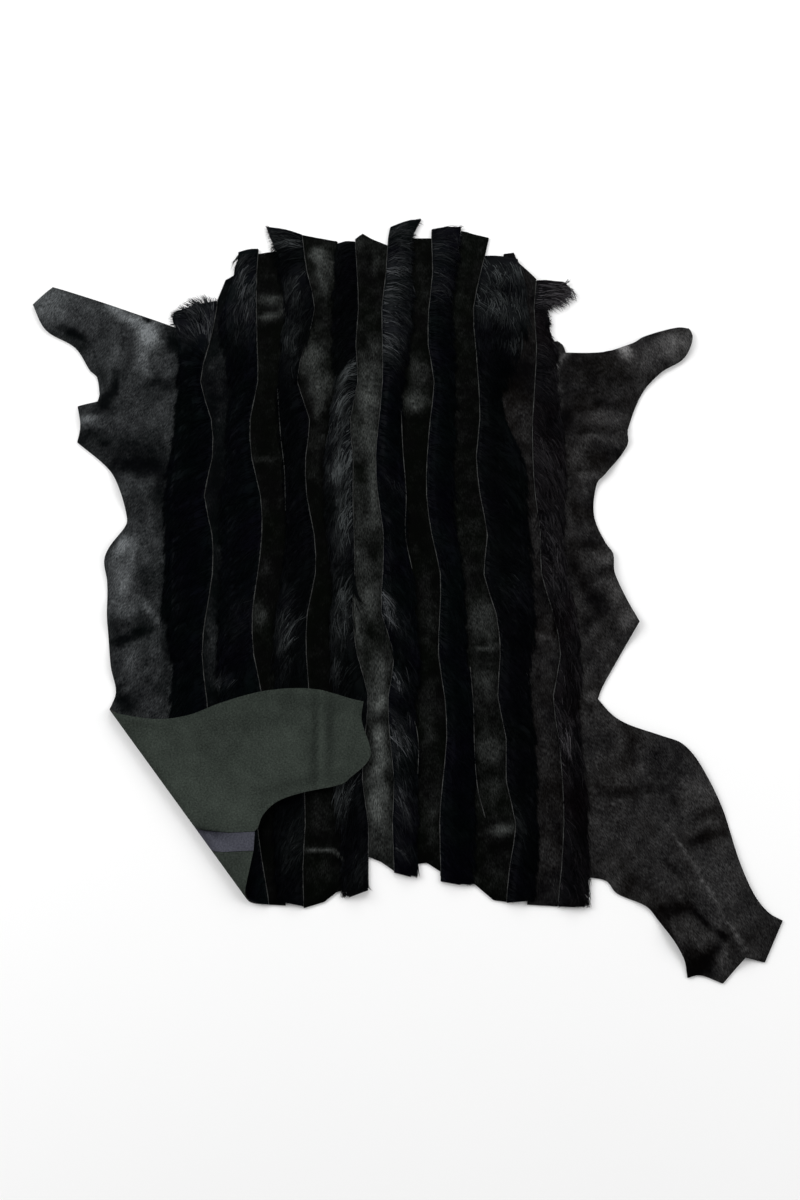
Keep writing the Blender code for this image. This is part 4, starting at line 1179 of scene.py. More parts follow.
GREY_COAT = CoatFinish(
    "coat_grey", (0.0004, 0.0006, 0.0010), (0.0002, 0.0009, 0.0009), (0.077, 0.082, 0.085)
)
OLIVE_COAT = CoatFinish(
    "coat_olive", (0.0003, 0.0007, 0.0002), (0.0005, 0.0005, 0.0005), (0.077, 0.083, 0.079)
)
BROWN_COAT = CoatFinish(
    "coat_brown", (0.0010, 0.0006, 0.0004), (0.0006, 0.0005, 0.0008), (0.080, 0.079, 0.079)
)
FLESH = SuedeFinish("flesh_suede", (0.0020, 0.0028, 0.0024), (0.074, 0.090, 0.076))
FUR_BACK = SuedeFinish("fur_back_suede", (0.006, 0.006, 0.009), (0.075, 0.077, 0.096))
RAW_EDGE = SuedeFinish("raw_edge", (0.0010, 0.0012, 0.0010), (0.080, 0.080, 0.074))
WELT = SuedeFinish("seam_welt", (0.0010, 0.0010, 0.0010), (0.100, 0.104, 0.101))
BLUE_HAIR = HairFinish(
    "hair_blue_black", (0.0002, 0.0002, 0.0018), (0.0001, 0.0012, 0.0014), (0.078, 0.083, 0.088)
)
GREEN_HAIR = HairFinish(
    "hair_green_black", (0.0002, 0.0009, 0.0010), (0.0003, 0.0004, 0.0014), (0.076, 0.084, 0.086)
)
BROWN_HAIR = HairFinish(
    "hair_brown_black", (0.0012, 0.0005, 0.0010), (0.0006, 0.0006, 0.0012), (0.080, 0.076, 0.082)
)


# The hair of each fur strip, from left to right
FUR_FINISHES = {
    "fur_1": BLUE_HAIR,
    "fur_2": BLUE_HAIR,
    "fur_3": GREEN_HAIR,
    "fur_4": GREEN_HAIR,
    "fur_5": BLUE_HAIR,
    "fur_6": BLUE_HAIR,
    "fur_7": GREEN_HAIR,
    "fur_8": BROWN_HAIR,
}


@cache
def material_of(finish: CoatFinish | SuedeFinish | HairFinish) -> bpy.types.Material:
    """Builds a finish's material once, and gives the same one each time after."""
    return finish.build()


def link_piece(mesh: bpy.types.Mesh, node: str) -> bpy.types.Object:
    """Links a mesh as a piece that rides on the hide in place of a solid.

    Args:
        mesh: The finished mesh, named as the piece is to be.
        node: The solid that it dresses.

    Returns:
        The piece.
    """
    piece = bpy.data.objects.new(mesh.name, mesh)
    bpy.context.scene.collection.objects.link(piece)
    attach(piece, "root")
    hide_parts(node)
    mesh.calc_loop_triangles()
    LOG.info("%s: %d triangles", piece.name, len(mesh.loop_triangles))
    return piece


def set_tone(mesh: bpy.types.Mesh, tones: Array) -> None:
    """Gives each corner of a mesh its tone."""
    attribute = mesh.attributes.new("tone", "FLOAT", "POINT")
    attribute.data.foreach_set("value", np.ascontiguousarray(tones, np.float32))


def set_nap(mesh: bpy.types.Mesh, places: Array) -> None:
    """Gives each corner of a mesh its place on the map that streaks and grain follow."""
    corners = np.empty(len(mesh.loops), np.int32)
    mesh.loops.foreach_get("vertex_index", corners)
    layer = mesh.uv_layers.new(name="nap")
    layer.data.foreach_set("uv", places[corners].astype(np.float32).ravel())


def triangle_mesh(name: str, points: Array, triangles: Array, tones: Array) -> bpy.types.Mesh:
    """Makes a smooth mesh from arrays.

    Args:
        name: The mesh's name.
        points: One row for each corner.
        triangles: One row of three corners for each face.
        tones: One tone for each corner.

    Returns:
        The mesh, with its tone attribute.
    """
    mesh = bpy.data.meshes.new(name)
    mesh.vertices.add(len(points))
    mesh.vertices.foreach_set("co", np.ascontiguousarray(points, np.float32).ravel())
    mesh.loops.add(3 * len(triangles))
    mesh.loops.foreach_set("vertex_index", np.ascontiguousarray(triangles, np.int32).ravel())
    mesh.polygons.add(len(triangles))
    mesh.polygons.foreach_set("loop_start", np.arange(0, 3 * len(triangles), 3, dtype=np.int32))
    mesh.update(calc_edges=True)
    mesh.shade_smooth()
    set_tone(mesh, tones)
    return mesh


def joined(*parts: MeshParts) -> MeshParts:
    """Joins parts of a mesh, each given as its points, its triangles and its tones."""
    points, triangles, tones = parts[0]
    for more_points, more_triangles, more_tones in parts[1:]:
        triangles = np.concatenate([triangles, more_triangles + len(points)])
        points = np.concatenate([points, more_points])
        tones = np.concatenate([tones, more_tones])
    return points, triangles, tones


def repeated(faces: Sequence | Array, size: int, count: int) -> Array:
    """Repeats the triangles of one form.

    Args:
        faces: One row of three corners for each triangle.
        size: How far the corners of the next form are on.
        count: How many forms there are.

    Returns:
        The triangles of all the forms.
    """
    starts = (np.arange(count) * size)[:, None, None]
    return (np.array(faces)[None] + starts).reshape(-1, 3)


def tube_faces(size: int, count: int, mirrored: bool = False) -> Array:
    """Lists the triangles of a closed tube.

    Args:
        size: The number of corners round the tube.
        count: The number of rings along it.
        mirrored: Whether the rings turn the other way.

    Returns:
        The triangles, with a cap at each end, facing outwards.
    """
    around = [(k, (k + 1) % size) for k in range(size)]
    sides = [face for k, j in around for face in ((k, size + k, size + j), (k, size + j, j))]
    cap = np.array([(0, k, k + 1) for k in range(1, size - 1)])
    end = cap[:, ::-1] + (count - 1) * size
    triangles = np.concatenate([repeated(sides, size, count - 1), cap, end])
    return triangles[:, ::-1] if mirrored else triangles


def softened(outline: Sequence[Point], step: float, sharp: float) -> list[Point]:
    """Rounds a drawn outline, but keeps its sharp corners.

    Args:
        outline: The points of an open line, in metres.
        step: The spacing of the new points.
        sharp: The turn, in degrees, past which a corner stays as it is.

    Returns:
        The new points, the two ends included.
    """
    points = [np.array(point) for point in outline]
    tangents = []
    for k, point in enumerate(points):
        before = points[max(k - 1, 0)]
        after = points[min(k + 1, len(points) - 1)]
        a = point - before
        b = after - point
        inner = 0 < k < len(points) - 1
        turn = abs(math.degrees(math.atan2(a[0] * b[1] - a[1] * b[0], float(a @ b))))
        tangents.append((after - before) / 2 if inner and turn < sharp else None)
    found = []
    for k in range(len(points) - 1):
        run = points[k + 1] - points[k]
        length = float(np.linalg.norm(run))
        slopes = tuple(
            run if slope is None else slope * length / max(float(np.linalg.norm(slope)), 1e-9)
            for slope in (tangents[k], tangents[k + 1])
        )
        count = max(1, round(length / step))
        found += [tuple(curve(points[k], points[k + 1], slopes, j / count)) for j in range(count)]
    found.append(tuple(points[-1]))
    return found


@dataclass
class LeatherSheet:
    """A piece of leather cut to a flat outline, with its coat pressed on it."""

    name: str
    node: str
    outline: list[Point]
    coat: CoatFinish | HairFinish
    flesh: SuedeFinish = FLESH
    edge: SuedeFinish = RAW_EDGE
    tone: float = 0.2
    nap_turn: float = 0.0
    thick: float = 2.9 * MM
    edge_thick: float = 2.1 * MM
    cell: float = 4.4 * MM
    bend_steps: int = 18
    held: str = "laid"
    slot: str = "short_coat"
    flesh_tone: float = 0.60
    flap_uneven: float = 0.22
    sharp_deg: float = 50.0
    least_share: float = 0.3

    def cut(self, mesh: bmesh.types.BMesh, point: tuple, normal: tuple) -> None:
        """Gives every face that crosses a plane an edge there."""
        geometry = mesh.verts[:] + mesh.edges[:] + mesh.faces[:]
        bmesh.ops.bisect_plane(
            mesh, geom=geometry, dist=1e-6, plane_co=(*point, 0), plane_no=(*normal, 0)
        )

    def cut_cells(self, mesh: bmesh.types.BMesh) -> None:
        """Cuts the flat piece into cells, and into narrow ones round the bend."""
        xs = [x for x, _ in self.outline]
        ys = [y for _, y in self.outline]
        for k in range(math.ceil(min(ys) / self.cell), math.floor(max(ys) / self.cell) + 1):
            self.cut(mesh, (0, k * self.cell), (0, 1))
        for k in range(math.ceil(min(xs) / self.cell), math.floor(max(xs) / self.cell) + 1):
            self.cut(mesh, (k * self.cell, 0), (1, 0))
        nx, ny = LAY.inward
        beyond = LAY.beyond(np.array(xs), np.array(ys))
        for step in range(self.bend_steps + 1):
            out = step * LAY.bend / self.bend_steps
            if beyond.min() < out < beyond.max():
                base = LAY.radius - out
                point = (LAY.start[0] + base * nx, LAY.start[1] + base * ny)
                self.cut(mesh, point, (nx, ny))

    def build(self) -> bpy.types.Object:
        """Returns:
            The piece.
        """
        work = bmesh.new()
        rim = work.verts.layers.float.new("rim")
        work.faces.new([work.verts.new((x, y, 0)) for x, y in self.outline])
        self.cut_cells(work)
        for corner in work.verts:
            corner[rim] = 1.0 if corner.is_boundary else 0.0
        grown = bmesh.ops.extrude_face_region(work, geom=work.faces[:])
        for item in grown["geom"]:
            if isinstance(item, bmesh.types.BMVert):
                item.co.z = 1.0
        bmesh.ops.recalc_face_normals(work, faces=work.faces[:])
        for face in work.faces:
            uppers = {corner.co.z > 0.5 for corner in face.verts}
            layer = Layer.EDGE if len(uppers) == 2 else (Layer.COAT if True in uppers else Layer.FLESH)
            face.material_index = layer.value
            face.smooth = True
        mesh = bpy.data.meshes.new(self.name)
        flat = np.array([corner.co[:] for corner in work.verts])
        rims = np.array([corner[rim] for corner in work.verts])
        work.to_mesh(mesh)
        work.free()
        self.lay(mesh, flat, rims)
        for finish in (self.coat, self.flesh, self.edge):
            mesh.materials.append(material_of(finish))
        piece = link_piece(mesh, self.node)
        return piece

    def lay(self, mesh: bpy.types.Mesh, flat: Array, rims: Array) -> None:
        """Moves the flat mesh into its folds, and gives it its tone and its nap.

        Args:
            mesh: The mesh, still flat.
            flat: Its corners on the flat pattern, with 1 for the upper side.
            rims: 1 for each corner of the cut edge.
        """
        x, y, side = flat.T
        upper = side > 0.5
        top = self.thick - (self.thick - self.edge_thick) * rims
        height = np.where(upper, top + LAY.relief(x, y) * (1.0 - 0.8 * rims), 0.0)
        placed = LAY.place(x, y, height)
        placed[:, 2] = np.maximum(placed[:, 2], 0.0)
        mesh.vertices.foreach_set("co", placed.astype(np.float32).ravel())
        turned = LAY.beyond(x, y) > 0
        # The coat's tone and the flap's carry painted sheen, highlights and shade along with their own
        # tone
        coat_tone = tone_with_painted_light_at(self.node, placed[:, 0], placed[:, 1], self.tone)
        flap_tone = tone_with_painted_light_at("flap", placed[:, 0], placed[:, 1], self.flesh_tone, self.flap_uneven)
        set_tone(mesh, np.where(upper, coat_tone, np.where(turned, flap_tone, self.flesh_tone)))
        turn = math.radians(self.nap_turn)
        across = x * math.cos(turn) + y * math.sin(turn)
        along = y * math.cos(turn) - x * math.sin(turn)
        set_nap(mesh, np.stack([across, along], -1))
        mesh.set_sharp_from_angle(angle=math.radians(self.sharp_deg))
        mesh.update()


def down_the_seam(
    line: Callable[[Array], Array], neck: float, tail: float, shift: float
) -> list[Point]:
    """Lists the points of one side of a piece along a seam.

    Args:
        line: The function that gives the seam's x at each height.
        neck: The height of the neck end.
        tail: The height of the tail end.
        shift: How far the side stands off the seam.

    Returns:
        The points, from the neck end to the tail end.
    """
    clear = 0.3 * CM
    inner = [y for y in CHART.stations if tail + clear < y < neck - clear]
    heights = np.array([neck, *inner, tail])
    return [(float(x) + shift, float(y)) for x, y in zip(line(heights), heights)]


# Where the rings of a hair stand, as shares of its length
HAIR_RINGS = (0.0, 0.36, 0.72)


def hair_blades(paths: Array, widths: Array, tones: Array) -> MeshParts:
    """Makes tapered hairs of three sides.

    Args:
        paths: For each hair, its line as one row for each ring and one for its tip.
        widths: Each hair's width at its root.
        tones: Each hair's tone.

    Returns:
        The points, the triangles and the tones.
    """
    count, stops, _ = paths.shape
    tangent = np.gradient(paths, axis=1)
    tangent /= np.linalg.norm(tangent, axis=2, keepdims=True) + 1e-9
    side = np.cross(tangent, np.array([0.0, 0.0, 1.0]))
    side /= np.linalg.norm(side, axis=2, keepdims=True) + 1e-9
    ridge = np.cross(side, tangent)
    taper = 1.0 - 0.65 * np.array([*HAIR_RINGS, 1.0]) ** 1.4
    wide = widths[:, None, None] * taper[None, :, None]
    corners = [paths - 0.5 * wide * side, paths + 0.5 * wide * side, paths + 0.42 * wide * ridge]
    rings = np.stack(corners, axis=2)[:, :-1].reshape(count, -1, 3)
    points = np.concatenate([rings, paths[:, -1:, :]], axis=1)
    size = points.shape[1]
    around = [(k, (k + 1) % 3) for k in range(3)]
    faces = [(0, 2, 1)]
    for low in range(0, 3 * (stops - 2), 3):
        for k, j in around:
            faces += [(low + k, low + j, low + 3 + j), (low + k, low + 3 + j, low + 3 + k)]
    last = 3 * (stops - 2)
    faces += [(last + k, last + j, size - 1) for k, j in around]
    triangles = repeated(np.array(faces)[:, ::-1], size, count)
    return points.reshape(-1, 3), triangles, np.repeat(tones, size)


@dataclass(frozen=True)
class HairSpread:
    """How much the locks and the single hairs of a strip differ, as spreads and ranges.

    rows is how many locks lie between a seam and the rim. Turns are in radians. wave is how far a
    lock sways, stray how far the wildest hair stands up, and loose how far past an end one reaches.
    """

    rows: float = 3.2
    lock_turn: float = 0.20
    lock_long: float = 0.14
    lock_high: Point = (0.80, 1.06)
    lock_tone: float = 0.22
    hair_turn: float = 0.12
    hair_long: Point = (0.7, 1.15)
    hair_high: Point = (0.80, 1.05)
    hair_wide: Point = (0.6, 1.25)
    hair_tone: float = 0.34
    hair_fringe: float = 0.6
    curl: float = 0.24
    wave: float = 0.9 * MM
    stray: float = 1.4 * MM
    loose: Point = (-1.0 * MM, 2.5 * MM)


@dataclass
class FurStrip:
    """A strip of long fur: its leather base, the soft mass of its hair and the hairs that show."""

    shape: StripShape
    finish: HairFinish
    seed: int
    hairs: int = 5900
    spread: HairSpread = HairSpread()
    lock_pitch: float = 7.0 * MM
    hair_length: float = 31.0 * MM
    hair_width: float = 0.85 * MM
    hair_light: float = 1.55
    hair_floor: float = 3.7 * MM
    fringe: float = 2.2 * MM
    root_height: float = 3.2 * MM
    tip_height: float = 4.2 * MM
    mass_rows: int = 190
    mass_shares: tuple[float, ...] = (0.0, 0.12, 0.28, 0.45, 0.62, 0.78, 0.90)
    mass_height: float = 0.72
    mass_shaded_share: float = 0.6
    mass_under: float = 3.55 * MM
    mass_least: float = 0.3 * MM
    pressed_height: float = 4.7 * MM
    base_thick: float = 2.6 * MM
    rng: np.random.Generator = field(init=False)

    def __post_init__(self) -> None:
        """Seeds the strip's own random numbers."""
        self.rng = np.random.default_rng(self.seed)

    def envelope(self, share: Array, y: Array) -> Array:
        """Gives the height of the fur over the flesh side.

        Args:
            share: How far across the hair the points lie, 0 at the seam and 1 at the rim.
            y: Their height on the flat pattern.

        Returns:
            One height for each point.
        """
        shape = self.shape
        lump = 1.0 + 0.16 * ripple(y, share * 0.03, 3.1 * CM, self.seed) + 0.08 * np.sin(y / CM * 1.3)
        crest = shape.hair_mm * MM * lump
        x = shape.seam(y) + (shape.rim(y) - shape.seam(y)) * share
        pressed = LAY.under_flap(x, y)
        crest = crest * (1.0 - pressed) + self.pressed_height * pressed
        tip = self.tip_height - 0.5 * MM * pressed
        rise = smooth_step(share / 0.42)
        fall = smooth_step((share - 0.45) / 0.55)
        return self.root_height + (crest - self.root_height) * rise - (crest - tip) * fall

    def mass(self) -> MeshParts:
        """Makes the soft slab under the hairs.

        Returns:
            Its points, its triangles and its tones.
        """
        shape = self.shape
        neck_in, neck_out, tail_in, tail_out = (value * CM for value in shape.ends)
        shares = np.array(self.mass_shares)[None]
        along = np.linspace(0.0, 1.0, self.mass_rows)[:, None]
        inner = neck_in + (tail_in - neck_in) * along
        outer = neck_out + (tail_out - neck_out) * along
        y = inner + (outer - inner) * shares
        x = shape.seam(y) + (shape.rim(y) - shape.seam(y)) * shares
        cover = self.envelope(shares + 0 * y, y) - self.base_thick
        top = self.base_thick + cover * self.mass_height
        top += 0.35 * MM * ripple(x, y, 0.9 * CM, self.seed + 40)
        on_base = np.abs(x - shape.seam(y)) <= np.abs(shape.outer(y) - shape.seam(y))
        under = np.where(on_base, self.base_thick - 0.6 * MM, self.mass_under)
        top = np.maximum(top, under + self.mass_least)
        upper, lower = (
            LAY.place(x.ravel(), y.ravel(), side.ravel()).reshape(self.mass_rows, -1, 3)
            for side in (top, under)
        )
        ring = np.concatenate([upper, lower[:, ::-1]], axis=1)
        triangles = tube_faces(ring.shape[1], self.mass_rows, shape.lie is Lie.LEFT)
        points = ring.reshape(-1, 3)
        # The slab is painted darker than the hairs over it, as shade in the depth of the fur, on top of
        # the patches' painted sheen and shade
        tones = self.mass_shaded_share * tone_with_painted_light_at(shape.name, points[:, 0], points[:, 1], shape.tone)
        return points, triangles, tones

    def hair_paths(self) -> MeshParts:
        """Lays every hair from its root in the mass, over it, to its tip.

        Returns:
            The hairs' lines, widths and tones.
        """
        shape, rng, count, spread = self.shape, self.rng, self.hairs, self.spread
        share = rng.uniform(0.0, 0.93, count)
        neck_seam = shape.seam(np.full(count, shape.ends[0] * CM))
        neck_end = (shape.ends[0] + (shape.ends[1] - shape.ends[0]) * share) * CM
        neck = np.minimum(shape.neck_limit(neck_seam, share), neck_end)
        tail = shape.tail_limit(share)
        root_y = tail + (neck - tail) * rng.uniform(0.004, 0.996, count)
        reach = np.abs(shape.rim(root_y) - shape.seam(root_y))
        root_out = reach * share
        turn = shape.turn(root_y, share)
        # Hairs of one row whose roots are close form a lock, and share its draws
        lock = np.floor((root_y + 0.5 * root_out * np.sin(turn)) / self.lock_pitch).astype(int)
        lock = (lock - lock.min()) * math.ceil(spread.rows) + np.floor(share * spread.rows).astype(int)
        locks = lock.max() + 1
        lock_turn = rng.normal(0.0, spread.lock_turn, locks)[lock]
        lock_long = rng.normal(1.0, spread.lock_long, locks)[lock]
        lock_high = rng.uniform(*spread.lock_high, locks)[lock]
        lock_tone = rng.normal(0.0, spread.lock_tone, locks)[lock]
        lock_wave = rng.uniform(0.0, 2 * math.pi, locks)[lock]
        lock_reach = rng.normal(0.0, 1.0, locks)[lock]
        turn = turn + lock_turn + rng.normal(0.0, spread.hair_turn, count)
        length = self.hair_length * lock_long * rng.uniform(*spread.hair_long, count)
        # The run of each hair outwards and down the hide, kept inside the rim and the ends
        s = np.array([*HAIR_RINGS, 1.0])[None, :]
        curved = turn[:, None] + spread.curl * (s - 0.5)
        wave = spread.wave * s * np.sin(lock_wave[:, None] + 5.0 * s)
        out_run = length[:, None] * s * np.cos(curved) + wave * np.sin(curved)
        down_run = length[:, None] * s * np.sin(curved) - wave * np.cos(curved)
        fringe = self.fringe * (lock_reach + rng.normal(0.0, spread.hair_fringe, count))
        room = np.maximum(reach + fringe - root_out, 1.5 * MM)
        out_run *= np.minimum(1.0, room / np.maximum(out_run[:, -1], 1e-6))[:, None]
        x = shape.seam(root_y)[:, None] + shape.lie.value * (root_out[:, None] + out_run)
        end_share = np.clip((root_out + out_run[:, -1]) / reach, 0.0, 1.0)
        loose = rng.uniform(*spread.loose, count)
        top_room = shape.neck_limit(x[:, -1], end_share) + loose - root_y
        low_room = root_y - shape.tail_limit(end_share) + loose
        fall = down_run[:, -1]
        keep = np.where(fall < 0, top_room / np.maximum(-fall, 1e-6), low_room / np.maximum(fall, 1e-6))
        down_run *= np.clip(keep, 0.02, 1.0)[:, None]
        y = root_y[:, None] - down_run
        # The height of each hair in the fur
        inside_y = np.clip(y, min(shape.ends[2:]) * CM, max(shape.ends[:2]) * CM)
        across = np.clip((root_out[:, None] + out_run) / reach[:, None], 0.0, 1.0)
        high = rng.uniform(*spread.hair_high, count)[:, None] * lock_high[:, None]
        rise = 0.55 + 0.45 * smooth_step(s / 0.4)
        cover = self.envelope(across, inside_y) * high - self.base_thick
        height = self.base_thick + cover * rise
        height += spread.stray * rng.uniform(0.0, 1.0, count)[:, None] ** 5 * s
        pressed = LAY.under_flap(x.ravel(), y.ravel()).reshape(x.shape)
        pressed_top = np.minimum(height, self.pressed_height + 0.3 * MM)
        height = np.maximum(np.where(pressed > 0.5, pressed_top, height), self.hair_floor)
        placed = LAY.place(x.ravel(), y.ravel(), height.ravel()).reshape(*x.shape, 3)
        widths = self.hair_width * rng.uniform(*spread.hair_wide, count)
        middle = placed[:, 2]
        # Each hair takes the tone of its place, painted sheen and shade included
        tones = self.hair_light * tone_with_painted_light_at(shape.name, middle[:, 0], middle[:, 1], shape.tone)
        own = rng.normal(0.0, 1.0, count)
        tones = tones * (1.0 + spread.hair_tone * own + lock_tone) + 0.02 * np.abs(own)
        return placed, widths, np.clip(tones, 0.0, 1.0)

    def base(self) -> LeatherSheet:
        """Cuts the leather base of the strip."""
        shape = self.shape
        neck_in, neck_out, tail_in, tail_out = (value * CM for value in shape.ends)
        shift = shape.lie.value * HALF_SEAM
        inner = down_the_seam(shape.seam, neck_in, tail_in, shift)
        outer = down_the_seam(shape.outer, neck_out, tail_out, -shift)
        return LeatherSheet(
            name=f"{shape.name}_base",
            node=shape.name,
            outline=inner + outer[::-1],
            coat=self.finish,
            flesh=FUR_BACK,
            tone=0.0,
            thick=self.base_thick,
            edge_thick=self.base_thick - 0.2 * MM,
            cell=8.0 * MM,
            slot="long_fur",
            flesh_tone=0.80,
            held="folded" if shape.name in IN_THE_FOLD else "laid",
        )

    def build(self) -> None:
        """Builds the base and the hair."""
        self.base().build()
        parts = joined(self.mass(), hair_blades(*self.hair_paths()))
        mesh = triangle_mesh(f"{self.shape.name}_hair", *parts)
        mesh.materials.append(material_of(self.finish))
        link_piece(mesh, self.shape.name)


@dataclass(frozen=True)
class SmoothShape:
    """A narrow smooth strip between two fur strips, with its neck and tail edges in centimetres."""

    name: str
    left: str
    right: str
    neck_left: float
    neck: tuple[Point, ...]
    neck_right: float
    tail_right: float
    tail: tuple[Point, ...]
    tail_left: float
    tone: float
    finish: CoatFinish
    nap_turn: float

    def sheet(self) -> LeatherSheet:
        """Cuts the strip's leather."""
        left, right = STRIPS[self.left].right, STRIPS[self.right].left
        up = down_the_seam(left, self.neck_left * CM, self.tail_left * CM, HALF_SEAM)[::-1]
        down = down_the_seam(right, self.neck_right * CM, self.tail_right * CM, -HALF_SEAM)
        return LeatherSheet(
            name=self.name + "_hide",
            node=self.name,
            outline=up + metres(self.neck) + down + metres(self.tail),
            coat=self.finish,
            tone=self.tone,
            nap_turn=self.nap_turn,
            held="folded" if self.name in IN_THE_FOLD else "laid",
        )


SMOOTH_STRIPS = (
    SmoothShape(
        "smooth_1", "fur_1", "fur_2", 36.2, ((-20.5, 39.0),), 39.9, -38.8, (), -38.3,
        0.09, GREY_COAT, -12,
    ),
    SmoothShape(
        "smooth_2", "fur_2", "fur_3", 42.7, (), 43.1, -39.2, (), -39.1, 0.06, OLIVE_COAT, -10
    ),
    SmoothShape(
        "smooth_3", "fur_3", "fur_4", 45.4, ((-9.0, 44.9),), 44.4, -37.3,
        ((-5.6, -37.7), (-7.0, -38.8)), -39.5, 0.05, OLIVE_COAT, -8,
    ),
    SmoothShape(
        "smooth_4", "fur_4", "fur_5", 44.8, ((-3.2, 45.6), (-2.2, 44.9)), 43.9, -35.3,
        ((-0.6, -34.3),), -33.7, 0.34, OLIVE_COAT, 0,
    ),
    SmoothShape(
        "smooth_5", "fur_5", "fur_6", 44.9, (), 44.9, -35.4, ((4.6, -34.4),), -34.6,
        0.05, OLIVE_COAT, 8,
    ),
    SmoothShape(
        "smooth_6", "fur_6", "fur_7", 46.0, ((11.0, 45.5),), 45.0, -38.8,
        ((12.1, -38.6), (10.0, -36.8)), -36.8, 0.15, OLIVE_COAT, 10,
    ),
    SmoothShape(
        "smooth_7", "fur_7", "fur_8", 42.7, ((16.0, 42.9), (16.5, 41.5)), 38.9, -39.3, (), -39.1,
        0.26, BROWN_COAT, 12,
    ),
)


@dataclass
class SeamWelt:
    """The pale raised edge down a seam, with its overlock stitches, and the edges that go with it."""

    shape: StripShape
    width: float = 1.5 * MM
    proud: float = 0.9 * MM
    pitch: float = 2.4 * MM
    step: float = 5.0 * MM
    level: float = 2.5 * MM
    stitch_level: float = 0.55 * MM
    stitch_tone: float = 0.74
    thread: float = 0.32 * MM
    edge_level: float = 4.0 * MM
    edge_scale: float = 0.62

    def line(self, y: Array, height: float) -> Array:
        """Places points of the welt's own line."""
        x = self.shape.seam(y)
        return LAY.place(x, y, self.level + height + 0.6 * LAY.relief(x, y))

    def build(self) -> None:
        """Builds the welt as a low rounded strip with a stitch across it at each pitch."""
        neck, tail = self.shape.ends[0] * CM, self.shape.ends[2] * CM
        y = np.arange(neck - 1 * MM, tail + 1 * MM, -self.step)
        strips = [self.rounded(self.line(y, 0.0), 1.0)]
        strips += [self.edge(path) for path in RIM_LINES.get(self.shape.name, ())]
        points, triangles, tones = joined(*strips, self.stitches(neck, tail))
        mesh = triangle_mesh(f"{self.shape.name}_welt", points, triangles, tones)
        set_nap(mesh, points[:, :2])
        mesh.materials.append(material_of(WELT))
        link_piece(mesh, self.shape.name)

    def rounded(self, middle: Array, scale: float) -> MeshParts:
        """Makes a closed low rounded strip that runs towards the tail.

        Args:
            middle: The strip's line, one row for each point.
            scale: Its width and height over the seam welt's own.

        Returns:
            Its points, its triangles and its tones.
        """
        section = [(-0.5, -0.4), (-0.42, 0.25), (-0.15, 0.62), (0.15, 0.62), (0.42, 0.25), (0.5, -0.4)]
        across = np.array([[a * self.width, 0.0, b * self.proud] for a, b in section]) * scale
        points = (middle[:, None, :] + across[None]).reshape(-1, 3)
        tones = 0.60 + 0.20 * ripple(points[:, 0], points[:, 1], 4 * CM, 77)
        return points, tube_faces(len(section), len(middle)), tones

    def edge(self, path: Sequence[Point]) -> MeshParts:
        """Makes a thin pale edge that shows beside the hair.

        Args:
            path: Its points from the neck down, in centimetres.

        Returns:
            Its points, its triangles and its tones.
        """
        x, y = np.array(softened(metres(path), self.step, 180)).T
        level = self.edge_level + 0.3 * MM * ripple(x, y, 2 * CM, 31)
        return self.rounded(LAY.place(x, y, level), self.edge_scale)

    def stitches(self, neck: float, tail: float) -> MeshParts:
        """Makes one small pointed bead of thread for each stitch.

        Args:
            neck: The height of the neck end.
            tail: The height of the tail end.

        Returns:
            The stitches' points, triangles and tones.
        """
        y = np.arange(neck - 2 * MM, tail + 2 * MM, -self.pitch)
        middle = self.line(y, self.stitch_level)
        half = 0.62 * self.width
        thread = self.thread
        bead = [
            (-half, 0.25 * MM, -0.3 * MM),
            (half, -0.25 * MM, -0.3 * MM),
            (0, thread, 0),
            (0, -thread, 0),
            (0, 0, thread),
            (0, 0, -thread),
        ]
        points = (middle[:, None, :] + np.array(bead)[None]).reshape(-1, 3)
        faces = [(0, 3, 4), (0, 4, 2), (0, 2, 5), (0, 5, 3), (1, 4, 3), (1, 2, 4), (1, 5, 2), (1, 3, 5)]
        return points, repeated(faces, len(bead), len(y)), np.full(len(points), self.stitch_tone)


def flank_outline(seam: list[Point], free: Sequence[Point]) -> list[Point]:
    """Closes a flank's outline, from its seam and the drawn points of its free edge."""
    return seam[::-1] + softened([seam[0], *free, seam[-1]], 5 * MM, 42)[1:-1]


def west_flank() -> LeatherSheet:
    """Cuts the left flank, with its foreleg and the hind leg beyond the fold."""
    seam = down_the_seam(STRIPS["fur_1"].left, 31.6 * CM, -37.75 * CM, -HALF_SEAM)
    leg = [LAY.unfolded(x, y) for x, y in metres(LEG_EDGE)]
    outline = flank_outline(seam, [*metres(WEST_EDGE), *leg])
    return LeatherSheet(
        "west_flank_hide", "west_flank", outline, GREY_COAT, tone=0.44, nap_turn=-25, held="folded"
    )


def east_flank() -> LeatherSheet:
    """Cuts the right flank, with its foreleg and its hind leg."""
    seam = down_the_seam(STRIPS["fur_8"].right, 30.4 * CM, -36.1 * CM, HALF_SEAM)
    outline = flank_outline(seam, metres(EAST_EDGE))
    return LeatherSheet(
        "east_flank_hide", "east_flank", outline, BROWN_COAT, tone=0.38, nap_turn=25
    )


@dataclass(frozen=True)
class Lamp:
    """A square soft light that hangs at a place and points at the hide."""

    name: str
    watts: float
    place: tuple[float, float, float]
    side: float

    def hang(self) -> None:
        """Adds the light."""
        lamp = bpy.data.lights.new(self.name, "AREA")
        lamp.energy = self.watts
        lamp.size = self.side
        light = bpy.data.objects.new(self.name, lamp)
        light.location = self.place
        light.rotation_euler = (-light.location).to_track_quat("-Z", "Y").to_euler()
        bpy.context.scene.collection.objects.link(light)


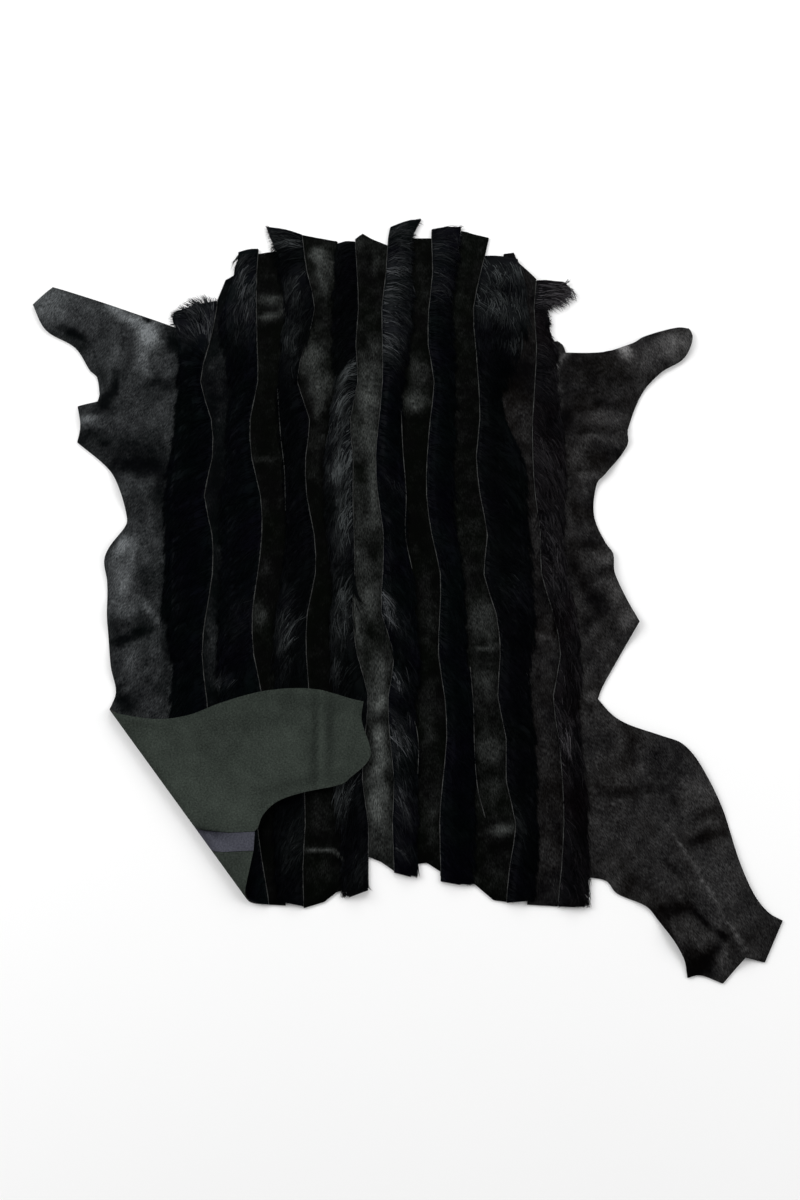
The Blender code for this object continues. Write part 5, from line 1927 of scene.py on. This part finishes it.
LAMPS = (
    Lamp("key_left", 62.0, (-2.3, 0.9, 1.9), 1.8),
    Lamp("fill_right", 34.0, (2.4, 0.2, 1.7), 1.8),
    Lamp("top_neck", 34.0, (0.2, 2.6, 2.0), 2.0),
)


@dataclass(frozen=True)
class Studio:
    """The floor, the lights, the sky and the camera."""

    lens_mm: float = 50.0
    sensor_mm: float = 36.0
    tilt_deg: float = 16.8839
    eye: tuple[float, float, float] = (0.0155, -0.6083, 1.9000)
    floor_size: float = 14.0
    floor_drop: float = 0.2 * MM
    sky: float = 0.42

    def floor(self) -> None:
        """Lays the plain pale floor."""
        bpy.ops.object.select_all(action="DESELECT")
        bpy.ops.mesh.primitive_plane_add(size=self.floor_size, location=(0, 0, -self.floor_drop))
        floor = bpy.context.object
        floor.name = "floor"
        material, make, shader = begin_material("floor_white")
        mottle = make.group("mottle", Vector=make.place(), Scale=3.0, Contrast=0.5)
        colour = make.mix(mottle["Value"], (0.90, 0.90, 0.90, 1), (0.93, 0.93, 0.93, 1))
        make.fill(shader, {"Base Color": colour, "Roughness": 0.95, "Specular IOR Level": 0.0})
        floor.data.materials.append(material)

    def camera(self) -> None:
        """Sets the camera above the hide, tilted as in the photograph."""
        data = bpy.data.cameras.new("camera")
        data.lens = self.lens_mm
        data.sensor_width = self.sensor_mm
        camera = bpy.data.objects.new("camera", data)
        camera.location = self.eye
        camera.rotation_euler = (math.radians(self.tilt_deg), 0, 0)
        bpy.context.scene.collection.objects.link(camera)
        bpy.context.scene.camera = camera

    def build(self) -> None:
        """Sets up the whole studio."""
        self.floor()
        for lamp in LAMPS:
            lamp.hang()
        self.camera()
        world = bpy.data.worlds.new("sky")
        bpy.context.scene.world = world
        world.use_nodes = True
        background = world.node_tree.nodes["Background"]
        background.inputs["Color"].default_value = (1, 1, 1, 1)
        background.inputs["Strength"].default_value = self.sky
        bpy.context.scene.view_settings.view_transform = "Standard"


def main() -> None:
    """Builds the hide piece by piece and the studio round it."""
    logging.basicConfig(level=logging.INFO, format="%(name)s: %(message)s")
    west_flank().build()
    east_flank().build()
    for strip in SMOOTH_STRIPS:
        strip.sheet().build()
    for seed, (name, finish) in enumerate(FUR_FINISHES.items(), start=1):
        FurStrip(STRIPS[name], finish, seed).build()
        SeamWelt(STRIPS[name]).build()
    Studio().build()


if __name__ == "__main__":
    main()
